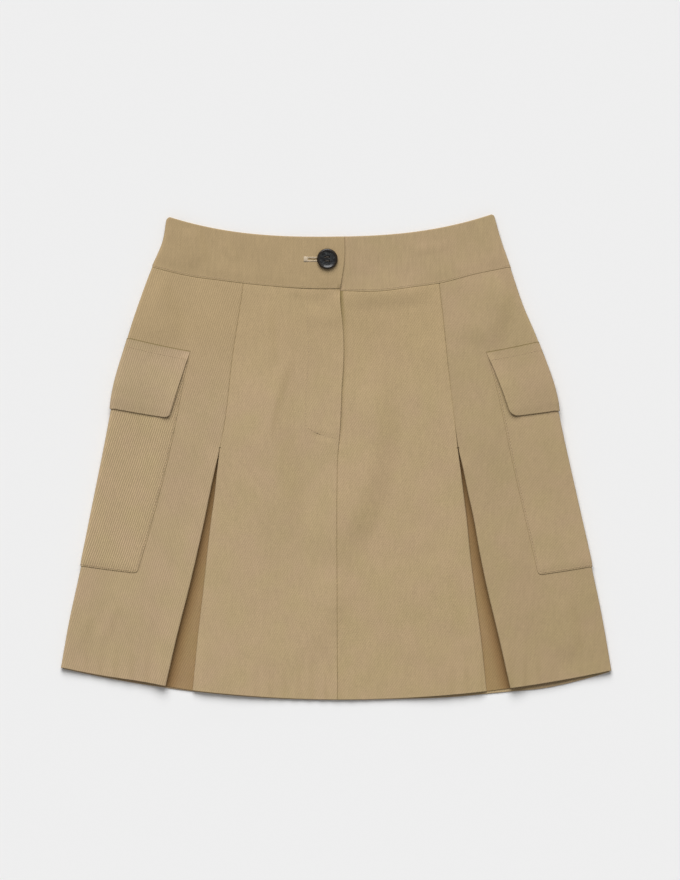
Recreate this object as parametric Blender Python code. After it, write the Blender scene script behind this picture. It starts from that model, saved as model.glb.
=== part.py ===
"""Cargo utility skirt, laid flat on its back.

Millimetres while the shapes are worked out, metres in the finished meshes, +Z up. The skirt is a flattened
tube. Its waist is at +Y and its hem at -Y, and the wearer's right is at -X. Every piece is a wall laid on one
base surface, the inside of the tube. A place on it is given by x and by its drop, the distance below the
waist edge measured down the side, and a piece lies at its own offset outwards from it.
"""

from collections import namedtuple
from math import cos, pi, radians, sin

import bmesh
import bpy
import numpy as np

MM = 0.001

# Cloth
CLOTH = 1.0  # one layer of twill
BAND = 1.6  # the waistband, two layers pressed together
FLAP = 2.0  # a pocket flap, two layers with their turnings
GAP = 0.3  # between pieces that touch
LOOSE = 0.4  # between the layers of a pleat

# Drops below the waist edge
SEAM_DROP = 49.5  # waistband seam
FLAP_TOP = 121.0
FLAP_BOTTOM = 191.5
POCKET_TOP = 135.0
POCKET_BOTTOM = 349.2
FLY_END = 206.0
PLEAT_TOP = 211.0  # where the panel seams open into pleats
UNDERLAY_TOP = 199.0
HEM = 451.0

# Side folds, pleats and the fly
FOLD_RADIUS = 1.6  # inside of the fold at each side
SEAM_ANGLE = radians(6)  # half of the side seam, seen from the middle of the fold
TURN_RADIUS = 0.2  # inside of a pleat's folded edge
PLEAT_RETURN = 34.0  # how far a panel goes back under itself at a pleat
ZONE_MARGIN = 3.0  # how far a lift reaches past what it clears
PLEAT_RAMP = 60.0
PLEAT_RISE = 140.0  # above the pleats, where the front settles onto their layers
PLEAT_FULL = 2.0  # how far above the pleats it lies fully on them
UNDERLAY_REACH = PLEAT_RETURN + 2.0  # how far a pleat's underlay goes past each folded edge
LAP = 28.0  # how far the left front goes under the right one at the fly
LAP_EASE = 2.0  # past the lap, before the right front comes down
LAP_RAMP = 48.0
FLY_RAMP = (-8.0, 40.0)  # from the fly's end, where the right front comes down below it
FLY_TAPER = (-45.0, -14.0)  # from the fly's end, where the lap narrows to nothing
PAST_MIDDLE = 6.0  # where the left front still lies plain, beside the fly's edge

# How far the front stands off the back
REST_GAP = 0.8
PLEAT_GAP = LOOSE + CLOTH + LOOSE + CLOTH + 2 * TURN_RADIUS
EDGE_GAP = 2 * FOLD_RADIUS
EDGE_RAMP = 45.0
BAND_STEP = 15.0  # below the waistband seam, where the back comes down to one layer

# Pockets and flaps
POCKET_RAMP = 25.0  # over which the back settles round a pocket that lies under it
POCKET_MARGIN = 1.5
FRONT_RAMP = 100.0  # the front spans what lies on the back, and comes down beside it more slowly
POCKET_CORNER = 4.0
FLAP_STRIP = 6.0  # the top of a flap, sewn straight to the panel
FLAP_STEP = 12.0  # where it has risen onto the pocket
# How far a pocket reaches from the side at its top and low down, what its flap loses towards its bottom, and
# how much higher than at the side their lower edges end.
PocketWidths = namedtuple(
    "PocketWidths", "front_top front_low back_top back_low bow taper rise flap_rise flap_corner"
)
POCKET_WIDTHS = {
    "right": PocketWidths(60.5, 52.5, 57.0, 57.0, 3.7, 8.0, 3.5, 2.2, 4.0),
    "left": PocketWidths(50.0, 50.5, 68.0, 61.0, 0.5, 8.5, 2.0, 3.2, 7.0),
}

# Button
BUTTON_PLACE = (-8.8, 198.7)
BUTTON_RADIUS = 10.4
BUTTON_THICK = 3.2
BUTTON_HOLES = 4
BUTTON_HOLE = 0.95
BUTTON_HOLE_SPREAD = 2.7
BUTTON_HOLE_SIDES = 12
BUTTON_SIDES = 32
# Rings of its profile, from the outer edge of the bottom over the rim and down into the dish
ButtonRing = namedtuple("ButtonRing", "from_edge height")
BUTTON_RINGS = (
    ButtonRing(1.4, 0.0),
    ButtonRing(0.4, 0.7),
    ButtonRing(0.0, 1.6),
    ButtonRing(0.3, 2.7),
    ButtonRing(1.1, BUTTON_THICK),
    ButtonRing(2.2, 3.05),
    ButtonRing(3.8, 2.3),
)

SIDES = {"right": -1, "left": 1}

# Where each level meets the two sides, and how much lower it hangs in the middle. A power over 2 keeps the
# middle of a level flatter than a parabola.
Level = namedtuple("Level", "name drop right_x right_y left_x left_y dip power")
LEVELS = (
    Level("waist edge", 0.0, -169.0, 240.6, 157.3, 243.1, 20.8, 2.5),
    Level("mid band", 25.0, -173.4, 215.6, 165.0, 216.3, 22.0, 2.3),
    Level("waist seam", 49.5, -183.8, 191.1, 174.6, 189.3, 23.1, 2.1),
    Level("high hip", 83.0, -196.4, 157.6, 186.3, 154.6, 24.0, 2.0),
    Level("flap top", 121.0, -208.8, 119.6, 202.5, 115.8, 24.5, 2.0),
    Level("flap bottom", 191.5, -223.9, 48.6, 221.1, 46.6, 25.5, 2.0),
    Level("pleat top", 211.0, -227.4, 29.6, 225.0, 27.6, 25.9, 2.0),
    Level("thigh", 283.0, -241.7, -42.4, 240.6, -42.4, 27.0, 2.0),
    Level("pocket bottom", 349.2, -255.1, -108.6, 255.7, -109.4, 28.0, 2.0),
    Level("low", 403.0, -266.8, -162.4, 266.7, -162.4, 29.0, 2.0),
    Level("hem", 451.0, -275.4, -210.4, 275.5, -213.4, 30.1, 2.0),
)

# Where the lines down the front cross each level. Below the pleat top each panel seam becomes two folded
# edges: the side panel's and the centre panel's.
Line = namedtuple("Line", "drop side_right centre_right middle centre_left side_left")
LINES = (
    Line(0.0, -88.0, -88.0, 8.3, 99.0, 99.0),
    Line(49.5, -92.9, -92.9, 4.2, 103.2, 103.2),
    Line(83.0, -97.9, -97.9, 7.1, 107.1, 107.1),
    Line(121.0, -103.7, -103.7, 7.1, 111.2, 111.2),
    Line(191.5, -112.4, -112.4, 3.9, 119.4, 119.4),
    Line(211.0, -116.1, -116.1, 2.4, 121.6, 122.2),
    Line(235.0, -121.4, -119.1, 2.2, 124.8, 127.4),
    Line(259.0, -126.5, -121.7, 2.0, 127.7, 132.2),
    Line(283.0, -131.3, -125.0, 1.9, 130.7, 137.4),
    Line(316.0, -138.5, -128.9, 1.7, 134.0, 143.3),
    Line(349.2, -146.2, -132.5, 1.6, 138.2, 150.2),
    Line(403.0, -159.6, -138.8, 1.3, 145.2, 162.8),
    Line(451.0, -170.5, -143.5, 0.9, 150.6, 174.2),
)

# How far the back hangs below the front's hem, across the page
Hang = namedtuple("Hang", "x below")
BACK_HANGS = (
    Hang(-276.0, 0.8),
    Hang(-90.0, 0.8),
    Hang(70.0, 0.8),
    Hang(110.0, 2.0),
    Hang(165.0, 2.8),
    Hang(212.0, 4.8),
    Hang(250.0, 2.9),
    Hang(276.0, 0.8),
)

# The front's largest soft folds: ridges between two places on the cloth. At its ends a fold keeps a share of
# its height.
FOLD_ENDS = 0.25
Fold = namedtuple("Fold", "name start_x start_y end_x end_y half_width height")
FOLDS = (
    Fold("right of the fly", -74.0, 82.0, -46.0, -92.0, 42.0, 1.9),
    Fold("left of the fly", 42.0, 92.0, 6.0, -106.0, 44.0, 2.3),
    Fold("left hip", 168.0, 180.0, 138.0, 110.0, 24.0, 1.0),
    Fold("right hip", -184.0, 186.0, -150.0, 126.0, 22.0, 0.9),
    Fold("low centre", 16.0, -112.0, -62.0, -226.0, 30.0, 0.9),
)

# Rows of the walls, as drops
SIDE_ROWS = (
    SEAM_DROP + GAP, 64.5, 83.0, 94.0, 107.0, 119.5, 133.0, 152.0, 172.0, 193.0, 202.0, PLEAT_TOP,
    219.0, 240.0, 262.0, 283.0, 305.0, 328.0, 350.7, 363.0, 376.0, 403.0, 428.0, HEM,
)  # fmt: skip
CENTRE_ROWS = (
    SEAM_DROP + GAP, 64.5, 83.0, 105.0, 127.0, 150.0, 171.0, 191.5, PLEAT_TOP,
    235.0, 260.0, 283.0, 316.0, 350.0, 376.0, 403.0, 428.0, HEM,
)  # fmt: skip
BAND_ROWS = (0.0, 6.0, 16.0, 27.0, 38.0, SEAM_DROP)
FLAP_ROWS = (FLAP_TOP, FLAP_TOP + FLAP_STRIP, FLAP_TOP + FLAP_STEP, 152.0, 172.0, FLAP_BOTTOM)

# Columns of the walls
POCKET_SHARES = (0.0, 0.1, 0.25, 0.42, 0.6, 0.8, 1.0)  # of a panel under its pocket, from the side
WRAP_SHARES = (0.0, 0.1, 0.25, 0.42, 0.6, 0.8, 0.93, 1.0)  # of a pocket or flap itself
RAMP_SHARES = (0.35, 0.65, 1.0)  # of the back beside a pocket
SIDE_PLEAT_LEAST = 0.17  # least share of a side panel, past its pocket, where its pleat's cloth begins
CENTRE_PLEAT_MOST = 0.32  # most of a centre panel that lies on its pleat's cloth
QUARTER_TURNS = 3  # columns in each quarter of a side fold
PLEAT_TURNS = 4  # columns round a pleat's folded edge

# Materials
Finish = namedtuple("Finish", "colour roughness metallic")
FINISHES = {
    "cotton_twill": Finish((0.418, 0.309, 0.178, 1.0), 0.88, 0.0),
    "cotton_twill_shade": Finish((0.33, 0.24, 0.135, 1.0), 0.9, 0.0),
    "horn_button": Finish((0.018, 0.012, 0.009, 1.0), 0.28, 0.0),
}


def eased(start, end, value):
    """0 before start and 1 after end, with an S curve between."""
    share = np.clip((value - start) / (end - start), 0.0, 1.0)
    return float(share * share * (3.0 - 2.0 * share))


def curve_through(stations, values):
    """A smooth line through the values at the stations."""
    stations = np.array(stations)
    values = np.array(values)
    slopes = np.gradient(values, stations)

    def at(station):
        k = int(np.clip(np.searchsorted(stations, station) - 1, 0, len(stations) - 2))
        span = stations[k + 1] - stations[k]
        t = (station - stations[k]) / span
        return float(
            (2 * t**3 - 3 * t**2 + 1) * values[k]
            + (t**3 - 2 * t**2 + t) * span * slopes[k]
            + (3 * t**2 - 2 * t**3) * values[k + 1]
            + (t**3 - t**2) * span * slopes[k + 1]
        )

    return at


def columns_of(table):
    """A smooth line for each column of a table, by its name, along the drop."""
    drops = [row.drop for row in table]
    names = [name for name in table[0]._fields if name not in ("name", "drop")]
    return {name: curve_through(drops, [getattr(row, name) for row in table]) for name in names}


LEVEL = columns_of(LEVELS)
LINE = columns_of(LINES)


def fold_x(side, drop):
    """Where the fold at a side starts: the panel's outline less its wall and the fold's radius."""
    return LEVEL[f"{side}_x"](drop) - SIDES[side] * (CLOTH + FOLD_RADIUS)


def level_y(x, drop):
    """Height on the page of a level at x."""
    low, high = fold_x("right", drop), fold_x("left", drop)
    share = (x - low) / (high - low)
    ends = LEVEL["right_y"](drop) * (1 - share) + LEVEL["left_y"](drop) * share
    return ends - LEVEL["dip"](drop) * (1 - abs(2 * share - 1) ** LEVEL["power"](drop))


def inwards(side, x, drop):
    """Distance from the fold at a side."""
    return SIDES[side] * (fold_x(side, drop) - x)


def pocket_width(side, face, drop):
    """How far a pocket reaches from the side onto the front or the back."""
    widths = POCKET_WIDTHS[side]
    share = np.clip((drop - FLAP_TOP) / (POCKET_BOTTOM - FLAP_TOP), 0.0, 1.0)
    top, low = getattr(widths, f"{face}_top"), getattr(widths, f"{face}_low")
    return top + (low - top) * share + 4 * widths.bow * share * (1 - share)


def under_zone(side, x, drop, top, bottom, ramp):
    """1 over what lies under the back at a side, between two drops, and 0 clear of it by a ramp."""
    edge = pocket_width(side, "back", drop) + POCKET_MARGIN
    across = 1 - eased(edge, edge + ramp, inwards(side, x, drop))
    above = eased(top - POCKET_MARGIN - ramp, top - POCKET_MARGIN, drop)
    below = 1 - eased(bottom + POCKET_MARGIN, bottom + POCKET_MARGIN + ramp, drop)
    return across * above * below


def carried(x, drop, ramp, step):
    """Height of the back with the pockets and flaps under it, coming down beside them over a ramp, and below
    the waistband over a step."""
    height = CLOTH + (BAND - CLOTH) * (1 - eased(SEAM_DROP, SEAM_DROP + step, drop))
    for side in SIDES:
        height += (CLOTH + GAP) * under_zone(side, x, drop, FLAP_TOP, POCKET_BOTTOM, ramp)
        height += (FLAP + GAP) * under_zone(side, x, drop, FLAP_TOP, FLAP_BOTTOM, ramp)
    return height


def back_inside(x, drop):
    """Height of the back's inner face, which closely follows what lies under it."""
    return carried(x, drop, POCKET_RAMP, BAND_STEP)


def pleat_zone(x, drop):
    """1 over a pleat's hidden layers and 0 clear of them."""
    full = PLEAT_TOP - PLEAT_FULL
    down = eased(full - PLEAT_RISE, full, drop)
    reach = PLEAT_RETURN + ZONE_MARGIN
    zone = 0.0
    for side, sign in SIDES.items():
        outer = sign * (x - LINE[f"side_{side}"](drop)) - reach
        inner = sign * (LINE[f"centre_{side}"](drop) - x) - reach
        zone = max(zone, 1 - eased(0.0, PLEAT_RAMP, max(outer, inner)))
    return down * zone


def fold_height(x, y):
    """How much the soft folds raise the cloth at a place."""
    height = 0.0
    for fold in FOLDS:
        along = np.array((fold.end_x - fold.start_x, fold.end_y - fold.start_y))
        away = np.array((x - fold.start_x, y - fold.start_y))
        share = np.clip(away @ along / (along @ along), 0.0, 1.0)
        distance = np.linalg.norm(away - share * along)
        fade = min(1.0, 4 * share * (1 - share) + FOLD_ENDS)
        height += fold.height * fade * (1 - eased(0.0, fold.half_width, distance))
    return height


def front_inside(x, drop):
    """Height of the front's inner face."""
    edge = min(inwards(side, x, drop) for side in SIDES)
    puff = 1 - eased(0.0, EDGE_RAMP, edge)
    gap = REST_GAP + (EDGE_GAP - REST_GAP) * puff
    gap += (PLEAT_GAP - REST_GAP) * pleat_zone(x, drop) * (1 - puff)
    gap += fold_height(x, level_y(x, drop)) * (1 - puff)
    return carried(x, drop, FRONT_RAMP, FRONT_RAMP) + gap


def lap_zone(x, drop, fly):
    """1 where the right front lies on the left one, 0 clear of it. Down the fly it ends at the fly's end."""
    full = LAP + LAP_EASE
    across = 1 - eased(full, full + LAP_RAMP, LINE["middle"](drop) - x)
    down = 1 - eased(FLY_END + FLY_RAMP[0], FLY_END + FLY_RAMP[1], drop) if fly else 1.0
    return across * down


def lap_at(drop):
    """How far the left front goes under the right one at a drop."""
    return LAP * (1 - eased(FLY_END + FLY_TAPER[0], FLY_END + FLY_TAPER[1], drop))


# A column of a wall. point(drop, offset) is a place on it, first is its first row, and shorten is how much
# less far down its last row is.
Column = namedtuple("Column", "point first shorten")


def front_column(place, lift=None, first=0, shorten=0.0):
    """A column on the front. place(drop) is its x, and lift(x, drop) raises it."""

    def point(drop, offset):
        x = place(drop)
        raised = lift(x, drop) if lift else 0.0
        return x, level_y(x, drop), front_inside(x, drop) + raised + offset

    return Column(point, first, shorten)


def back_column(place, shorten=0.0):
    """A column on the back, under which the offset goes downwards."""

    def point(drop, offset):
        x = place(drop)
        return x, level_y(x, drop), back_inside(x, drop) - offset

    return Column(point, 0, shorten)


def side_column(side, angle):
    """A column round the fold at a side. The angle is 90 degrees on the front and -90 on the back."""

    def point(drop, offset):
        x = fold_x(side, drop)
        top, bottom = front_inside(x, drop), back_inside(x, drop)
        out = SIDES[side] * (FOLD_RADIUS + offset) * cos(angle)
        up = ((top - bottom) / 2 + offset) * sin(angle)
        return x + out, level_y(x, drop), (top + bottom) / 2 + up

    return Column(point, 0, 0.0)


def turn_column(edge, way, angle, first):
    """A column round a pleat's folded edge, which faces way along X."""

    def point(drop, offset):
        x = edge(drop) - way * (TURN_RADIUS + CLOTH)
        z = front_inside(x, drop) - TURN_RADIUS
        reach = TURN_RADIUS + offset
        return x + way * reach * cos(angle), level_y(x, drop), z + reach * sin(angle)

    return Column(point, first, 0.0)


def return_column(edge, way, distance, first):
    """A column of the cloth that goes back under a panel, at a distance from the folded edge."""

    def point(drop, offset):
        x = edge(drop) - way * (TURN_RADIUS + CLOTH + distance)
        return x, level_y(x, drop), front_inside(x, drop) - 2 * TURN_RADIUS - offset

    return Column(point, first, 0.0)


def pleat_columns(edge, way, first):
    """The folded edge of a pleat and the cloth that goes back under the panel."""
    turns = [pi / 2 - pi * k / PLEAT_TURNS for k in range(1, PLEAT_TURNS + 1)]
    columns = [turn_column(edge, way, angle, first) for angle in turns]
    returns = (PLEAT_RETURN / 2, PLEAT_RETURN)
    return columns + [return_column(edge, way, distance, first) for distance in returns]


def quarter(side, sign):
    """Columns of a side fold from the side seam towards the front (1) or the back (-1), without its end."""
    angles = [SEAM_ANGLE + (pi / 2 - SEAM_ANGLE) * k / QUARTER_TURNS for k in range(QUARTER_TURNS)]
    return [side_column(side, sign * angle) for angle in angles]


def add_object(name, mesh, finish):
    """Puts a mesh in the scene with its material."""
    material = bpy.data.materials.get(finish) or bpy.data.materials.new(finish)
    material.use_nodes = True
    shader = material.node_tree.nodes["Principled BSDF"]
    look = FINISHES[finish]
    shader.inputs["Base Color"].default_value = look.colour
    shader.inputs["Roughness"].default_value = look.roughness
    shader.inputs["Metallic"].default_value = look.metallic
    mesh.materials.append(material)
    piece = bpy.data.objects.new(name, mesh)
    bpy.context.scene.collection.objects.link(piece)
    return piece


def wall(name, columns, rows, inside, outside, finish="cotton_twill"):
    """A closed wall on columns and rows, between two offsets, each a number or a function of the drop."""
    work = bmesh.new()
    layers = []
    for offset in (inside, outside):
        corner = {}
        for i, column in enumerate(columns):
            for j, drop in enumerate(rows):
                if j < column.first:
                    continue
                place = drop - (column.shorten if j == len(rows) - 1 else 0.0)
                distance = offset(drop) if callable(offset) else offset
                point = np.array(column.point(place, distance)) * MM
                corner[i, j] = work.verts.new(point)
        layers.append(corner)
    inner, outer = layers
    cells = {
        (i, j)
        for i in range(len(columns) - 1)
        for j in range(len(rows) - 1)
        if j >= max(columns[i].first, columns[i + 1].first)
    }
    for i, j in sorted(cells):
        around = [(i, j), (i + 1, j), (i + 1, j + 1), (i, j + 1)]
        work.faces.new([outer[k] for k in around])
        work.faces.new([inner[k] for k in reversed(around)])
        neighbours = [(i, j - 1), (i + 1, j), (i, j + 1), (i - 1, j)]
        for k, neighbour in enumerate(neighbours):
            if neighbour not in cells:
                a, b = around[k], around[(k + 1) % 4]
                work.faces.new([outer[b], outer[a], inner[a], inner[b]])
    loose = [vert for vert in work.verts if not vert.link_faces]
    bmesh.ops.delete(work, geom=loose, context="VERTS")
    bmesh.ops.recalc_face_normals(work, faces=work.faces)
    mesh = bpy.data.meshes.new(name)
    work.to_mesh(mesh)
    work.free()
    mesh.shade_smooth()
    mesh.set_sharp_from_angle(angle=radians(40))
    return add_object(name, mesh, finish)


def row_of(rows, drop):
    """The row nearest to a drop."""
    return min(range(len(rows)), key=lambda j: abs(rows[j] - drop))


def between(start, end, count):
    """Places that part the stretch between two lines down the front into count equal strips."""
    return [
        lambda drop, share=k / count: start(drop) + (end(drop) - start(drop)) * share
        for k in range(1, count)
    ]


def front_side(side):
    """A side front panel, from the side seam to the panel seam and back under itself at the pleat."""
    sign = SIDES[side]
    edge = LINE[f"side_{side}"]
    top_row = row_of(SIDE_ROWS, PLEAT_TOP)

    def seam(drop):
        clear = GAP / 2 + (TURN_RADIUS + CLOTH - GAP / 2) * (drop >= PLEAT_TOP - 1)
        return edge(drop) + sign * clear

    def at_share(share):
        return lambda drop: fold_x(side, drop) - sign * share * pocket_width(side, "front", drop)

    def pleat_edge(drop):
        width = inwards(side, seam(drop), drop)
        pocket = pocket_width(side, "front", drop)
        reach = PLEAT_RETURN + ZONE_MARGIN
        inner = max(width - reach, pocket + SIDE_PLEAT_LEAST * (width - pocket))
        return fold_x(side, drop) - sign * inner

    columns = quarter(side, 1) + [front_column(at_share(share)) for share in POCKET_SHARES]
    columns += [front_column(pleat_edge)]
    columns += [front_column(place) for place in between(pleat_edge, seam, 2)]
    columns += [front_column(seam)] + pleat_columns(edge, -sign, top_row)
    wall(f"front_side_{side}", columns, SIDE_ROWS, 0.0, CLOTH)


def front_centre(side):
    """A centre front panel, from the pleat's returned edge to the fly."""
    sign = SIDES[side]
    edge = LINE[f"centre_{side}"]
    middle = LINE["middle"]
    top_row = row_of(CENTRE_ROWS, PLEAT_TOP)

    def seam(drop):
        clear = GAP / 2 + (TURN_RADIUS + CLOTH - GAP / 2) * (drop >= PLEAT_TOP - 1)
        return edge(drop) - sign * clear

    def pleat_edge(drop):
        width = abs(middle(drop) - seam(drop))
        return seam(drop) - sign * min(PLEAT_RETURN + ZONE_MARGIN, CENTRE_PLEAT_MOST * width)

    def lap_edge(drop):
        return middle(drop) - (LAP + LAP_EASE)

    def lift(x, drop):
        return (CLOTH + GAP) * lap_zone(x, drop, fly=True)

    def under_end(drop):
        return middle(drop) + GAP - lap_at(drop)

    def past_middle(drop):
        return middle(drop) + PAST_MIDDLE

    columns = list(reversed(pleat_columns(edge, sign, top_row)))
    columns += [front_column(seam)]
    columns += [front_column(place) for place in between(seam, pleat_edge, 2)]
    columns += [front_column(pleat_edge)]
    if side == "right":
        places = between(pleat_edge, lap_edge, 5) + [lap_edge]
        places += between(lap_edge, middle, 2) + [middle]
        columns += [front_column(place, lift) for place in places]
    else:
        places = between(pleat_edge, past_middle, 6) + [past_middle]
        places += between(past_middle, under_end, 2) + [under_end]
        columns += [front_column(place) for place in places]
    wall(f"front_centre_{side}", columns, CENTRE_ROWS, 0.0, CLOTH)


def underlay(side):
    """The cloth inside a pleat, under both folded edges."""
    sign = SIDES[side]

    def outer(drop):
        return LINE[f"side_{side}"](drop) + sign * UNDERLAY_REACH

    def inner(drop):
        return LINE[f"centre_{side}"](drop) - sign * UNDERLAY_REACH

    def column(place):
        def point(drop, offset):
            x = place(drop)
            return x, level_y(x, drop), back_inside(x, drop) + LOOSE + offset

        return Column(point, 0, 0.0)

    places = [outer] + between(outer, inner, 7) + [inner]
    rows = [UNDERLAY_TOP] + [drop for drop in SIDE_ROWS if drop >= PLEAT_TOP]
    wall(f"pleat_underlay_{side}", [column(p) for p in places], rows, 0.0, CLOTH, "cotton_twill_shade")


def back_panel():
    """The back, from side seam to side seam."""
    hang = curve_through([row.x for row in BACK_HANGS], [row.below for row in BACK_HANGS])

    def at_share(side, share):
        sign = SIDES[side]
        margin = POCKET_MARGIN if share == 1.0 else 0.0
        return lambda drop: fold_x(side, drop) - sign * (share * pocket_width(side, "back", drop) + margin)

    def past(side, distance):
        edge = at_share(side, 1.0)
        return lambda drop: edge(drop) - SIDES[side] * distance

    def column(place):
        base = back_column(place)

        def point(drop, offset):
            x, y, z = base.point(drop, offset)
            return x, y - hang(x) * (drop == HEM), z

        return Column(point, 0, 0.0)

    def half(side):
        flat = [at_share(side, share) for share in POCKET_SHARES]
        flat += [past(side, POCKET_RAMP * share) for share in RAMP_SHARES]
        return quarter(side, -1), flat

    fold_right, flat_right = half("right")
    fold_left, flat_left = half("left")
    places = flat_right + between(flat_right[-1], flat_left[-1], 7) + flat_left[::-1]
    columns = fold_right + [column(place) for place in places] + fold_left[::-1]
    wall("back_panel", columns, SIDE_ROWS, 0.0, CLOTH)


def rounded(distance, radius):
    """How much a rounded corner takes off an edge, at a distance from the edge's end."""
    if distance >= radius:
        return 0.0
    return radius - (radius**2 - (radius - distance) ** 2) ** 0.5


def wrapped(side, width, corner, rise):
    """Columns from the front edge of a pocket or flap, round the side, to its back edge."""
    sign = SIDES[side]

    def at_share(face, share):
        return lambda drop: fold_x(side, drop) - sign * share * width(face, drop)

    def shorten(face, share):
        reach = width(face, POCKET_BOTTOM)
        return rounded((1 - share) * reach, corner) + rise * share

    def flat(face, share):
        make = front_column if face == "front" else back_column
        return make(at_share(face, share), shorten=shorten(face, share))

    turns = [pi / 2 - pi * k / (2 * QUARTER_TURNS) for k in range(1, 2 * QUARTER_TURNS)]
    columns = [flat("front", share) for share in reversed(WRAP_SHARES)]
    columns += [side_column(side, angle) for angle in turns]
    return columns + [flat("back", share) for share in WRAP_SHARES]


def pocket(side):
    """A patch pocket."""

    def width(face, drop):
        return pocket_width(side, face, drop)

    rows = [POCKET_TOP] + [row for row in SIDE_ROWS if POCKET_TOP < row < POCKET_BOTTOM] + [POCKET_BOTTOM]
    columns = wrapped(side, width, POCKET_CORNER, POCKET_WIDTHS[side].rise)
    wall(f"pocket_{side}", columns, rows, CLOTH + GAP, 2 * CLOTH + GAP)


def flap(side):
    """A pocket flap: its top strip is sewn to the panel, and the rest lies on the pocket."""
    widths = POCKET_WIDTHS[side]

    def width(face, drop):
        share = (drop - FLAP_TOP) / (FLAP_BOTTOM - FLAP_TOP)
        return pocket_width(side, face, drop) - widths.taper * min(1.0, share)

    def inside(drop):
        rise = eased(FLAP_TOP + FLAP_STRIP, FLAP_TOP + FLAP_STEP, drop)
        return CLOTH + GAP + (CLOTH + GAP) * rise

    def outside(drop):
        return inside(drop) + FLAP

    columns = wrapped(side, width, widths.flap_corner, widths.flap_rise)
    wall(f"flap_{side}", columns, FLAP_ROWS, inside, outside)


def waistband_front(side):
    """Half of the front waistband. The right one laps over the left one."""
    sign = SIDES[side]
    middle = LINE["middle"]

    def start(drop):
        return fold_x(side, drop)

    def lap_edge(drop):
        return middle(drop) - (LAP + LAP_EASE)

    def lift(x, drop):
        return (BAND + GAP) * lap_zone(x, drop, fly=False)

    def before_ramp(drop):
        return lap_edge(drop) - LAP_RAMP

    def under_end(drop):
        return middle(drop) - LAP

    if side == "right":
        places = [start] + between(start, before_ramp, 7) + [before_ramp]
        places += between(before_ramp, lap_edge, 3) + [lap_edge] + between(lap_edge, middle, 3) + [middle]
    else:
        places = [start] + between(start, under_end, 11) + [under_end]
        lift = None
    columns = quarter(side, 1) + [front_column(place, lift) for place in places]
    wall(f"waistband_front_{side}", columns, BAND_ROWS, 0.0, BAND)


def waistband_back():
    """The back waistband, from side to side."""
    start = [lambda drop: fold_x("right", drop)]
    end = [lambda drop: fold_x("left", drop)]
    places = start + between(start[0], end[0], 12) + end
    columns = quarter("right", -1) + [back_column(place) for place in places] + quarter("left", -1)[::-1]
    wall("waistband_back", columns, BAND_ROWS, 0.0, BAND)


def drop_at(x, y):
    """The drop at a place on the page, by halving."""
    low, high = 0.0, HEM
    while high - low > 0.01:
        middle = (low + high) / 2
        low, high = (middle, high) if level_y(x, middle) > y else (low, middle)
    return low


def button():
    """A four-hole button with a raised rim, lying on the waistband."""
    x, y = BUTTON_PLACE
    drop = drop_at(x, y)
    top = front_inside(x, drop) + (BAND + GAP) * lap_zone(x, drop, fly=False) + BAND
    floor = top + 2 * GAP
    heights = [(BUTTON_RADIUS - ring.from_edge, ring.height) for ring in BUTTON_RINGS]
    profile = [(0.0, heights[0][1]), *heights, (0.0, heights[-1][1])]
    work = bmesh.new()
    rings = []
    for radius, height in profile:
        if radius == 0.0:
            rings.append([work.verts.new(np.array((x, y, floor + height)) * MM)])
            continue
        turn = [2 * pi * k / BUTTON_SIDES for k in range(BUTTON_SIDES)]
        ring = [(x + radius * cos(a), y + radius * sin(a), floor + height) for a in turn]
        rings.append([work.verts.new(np.array(place) * MM) for place in ring])
    for lower, upper in zip(rings, rings[1:]):
        for k in range(BUTTON_SIDES):
            n = (k + 1) % BUTTON_SIDES
            if len(lower) == 1:
                work.faces.new((lower[0], upper[n], upper[k]))
            elif len(upper) == 1:
                work.faces.new((lower[k], lower[n], upper[0]))
            else:
                work.faces.new((lower[k], lower[n], upper[n], upper[k]))
    bmesh.ops.recalc_face_normals(work, faces=work.faces)
    mesh = bpy.data.meshes.new("button")
    work.to_mesh(mesh)
    work.free()
    mesh.shade_smooth()
    mesh.set_sharp_from_angle(angle=radians(40))
    piece = add_object("button", mesh, "horn_button")
    for k in range(BUTTON_HOLES):
        angle = (2 * k + 1) * pi / BUTTON_HOLES
        reach = BUTTON_HOLE_SPREAD
        place = (x + reach * cos(angle), y + reach * sin(angle), floor + BUTTON_THICK / 2)
        bpy.ops.mesh.primitive_cylinder_add(
            vertices=BUTTON_HOLE_SIDES,
            radius=BUTTON_HOLE * MM,
            depth=3 * BUTTON_THICK * MM,
            location=np.array(place) * MM,
        )
        cutter = bpy.context.object
        cutter.name = f"button_hole_{k}"
        cutter.hide_render = True
        cutter.display_type = "WIRE"
        cut = piece.modifiers.new(f"hole {k}", "BOOLEAN")
        cut.operation = "DIFFERENCE"
        cut.solver = "EXACT"
        cut.object = cutter


def centre_on_footprint():
    """Moves everything so that the skirt's box stands on the origin."""
    bpy.context.view_layer.update()
    shown = [piece for piece in bpy.data.objects if not piece.hide_render]
    corners = np.array([vert.co for piece in shown for vert in piece.data.vertices])
    low, high = corners.min(0), corners.max(0)
    shift = np.array((-(low[0] + high[0]) / 2, -(low[1] + high[1]) / 2, -low[2]))
    for piece in bpy.data.objects:
        piece.location = np.array(piece.location) + shift


def main():
    for piece in list(bpy.data.objects):
        bpy.data.objects.remove(piece, do_unlink=True)
    back_panel()
    waistband_back()
    for side in SIDES:
        front_side(side)
        front_centre(side)
        underlay(side)
        pocket(side)
        flap(side)
        waistband_front(side)
    button()
    centre_on_footprint()


main()
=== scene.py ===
"""Cargo utility skirt, laid flat on its back: its twill, creases, sewing, button and stage.

Millimetres while the shapes are worked out, metres in the finished meshes, +Z up. The skirt is a flattened
tube with its waist at +Y and the wearer's right at -X. A place on the cloth is given by x and by its drop,
the distance below the waist edge down the side, and a piece lies at its own offset outwards from the tube's
inside.
"""

from collections import namedtuple
from functools import partial
from math import cos, pi, radians, sin

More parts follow.
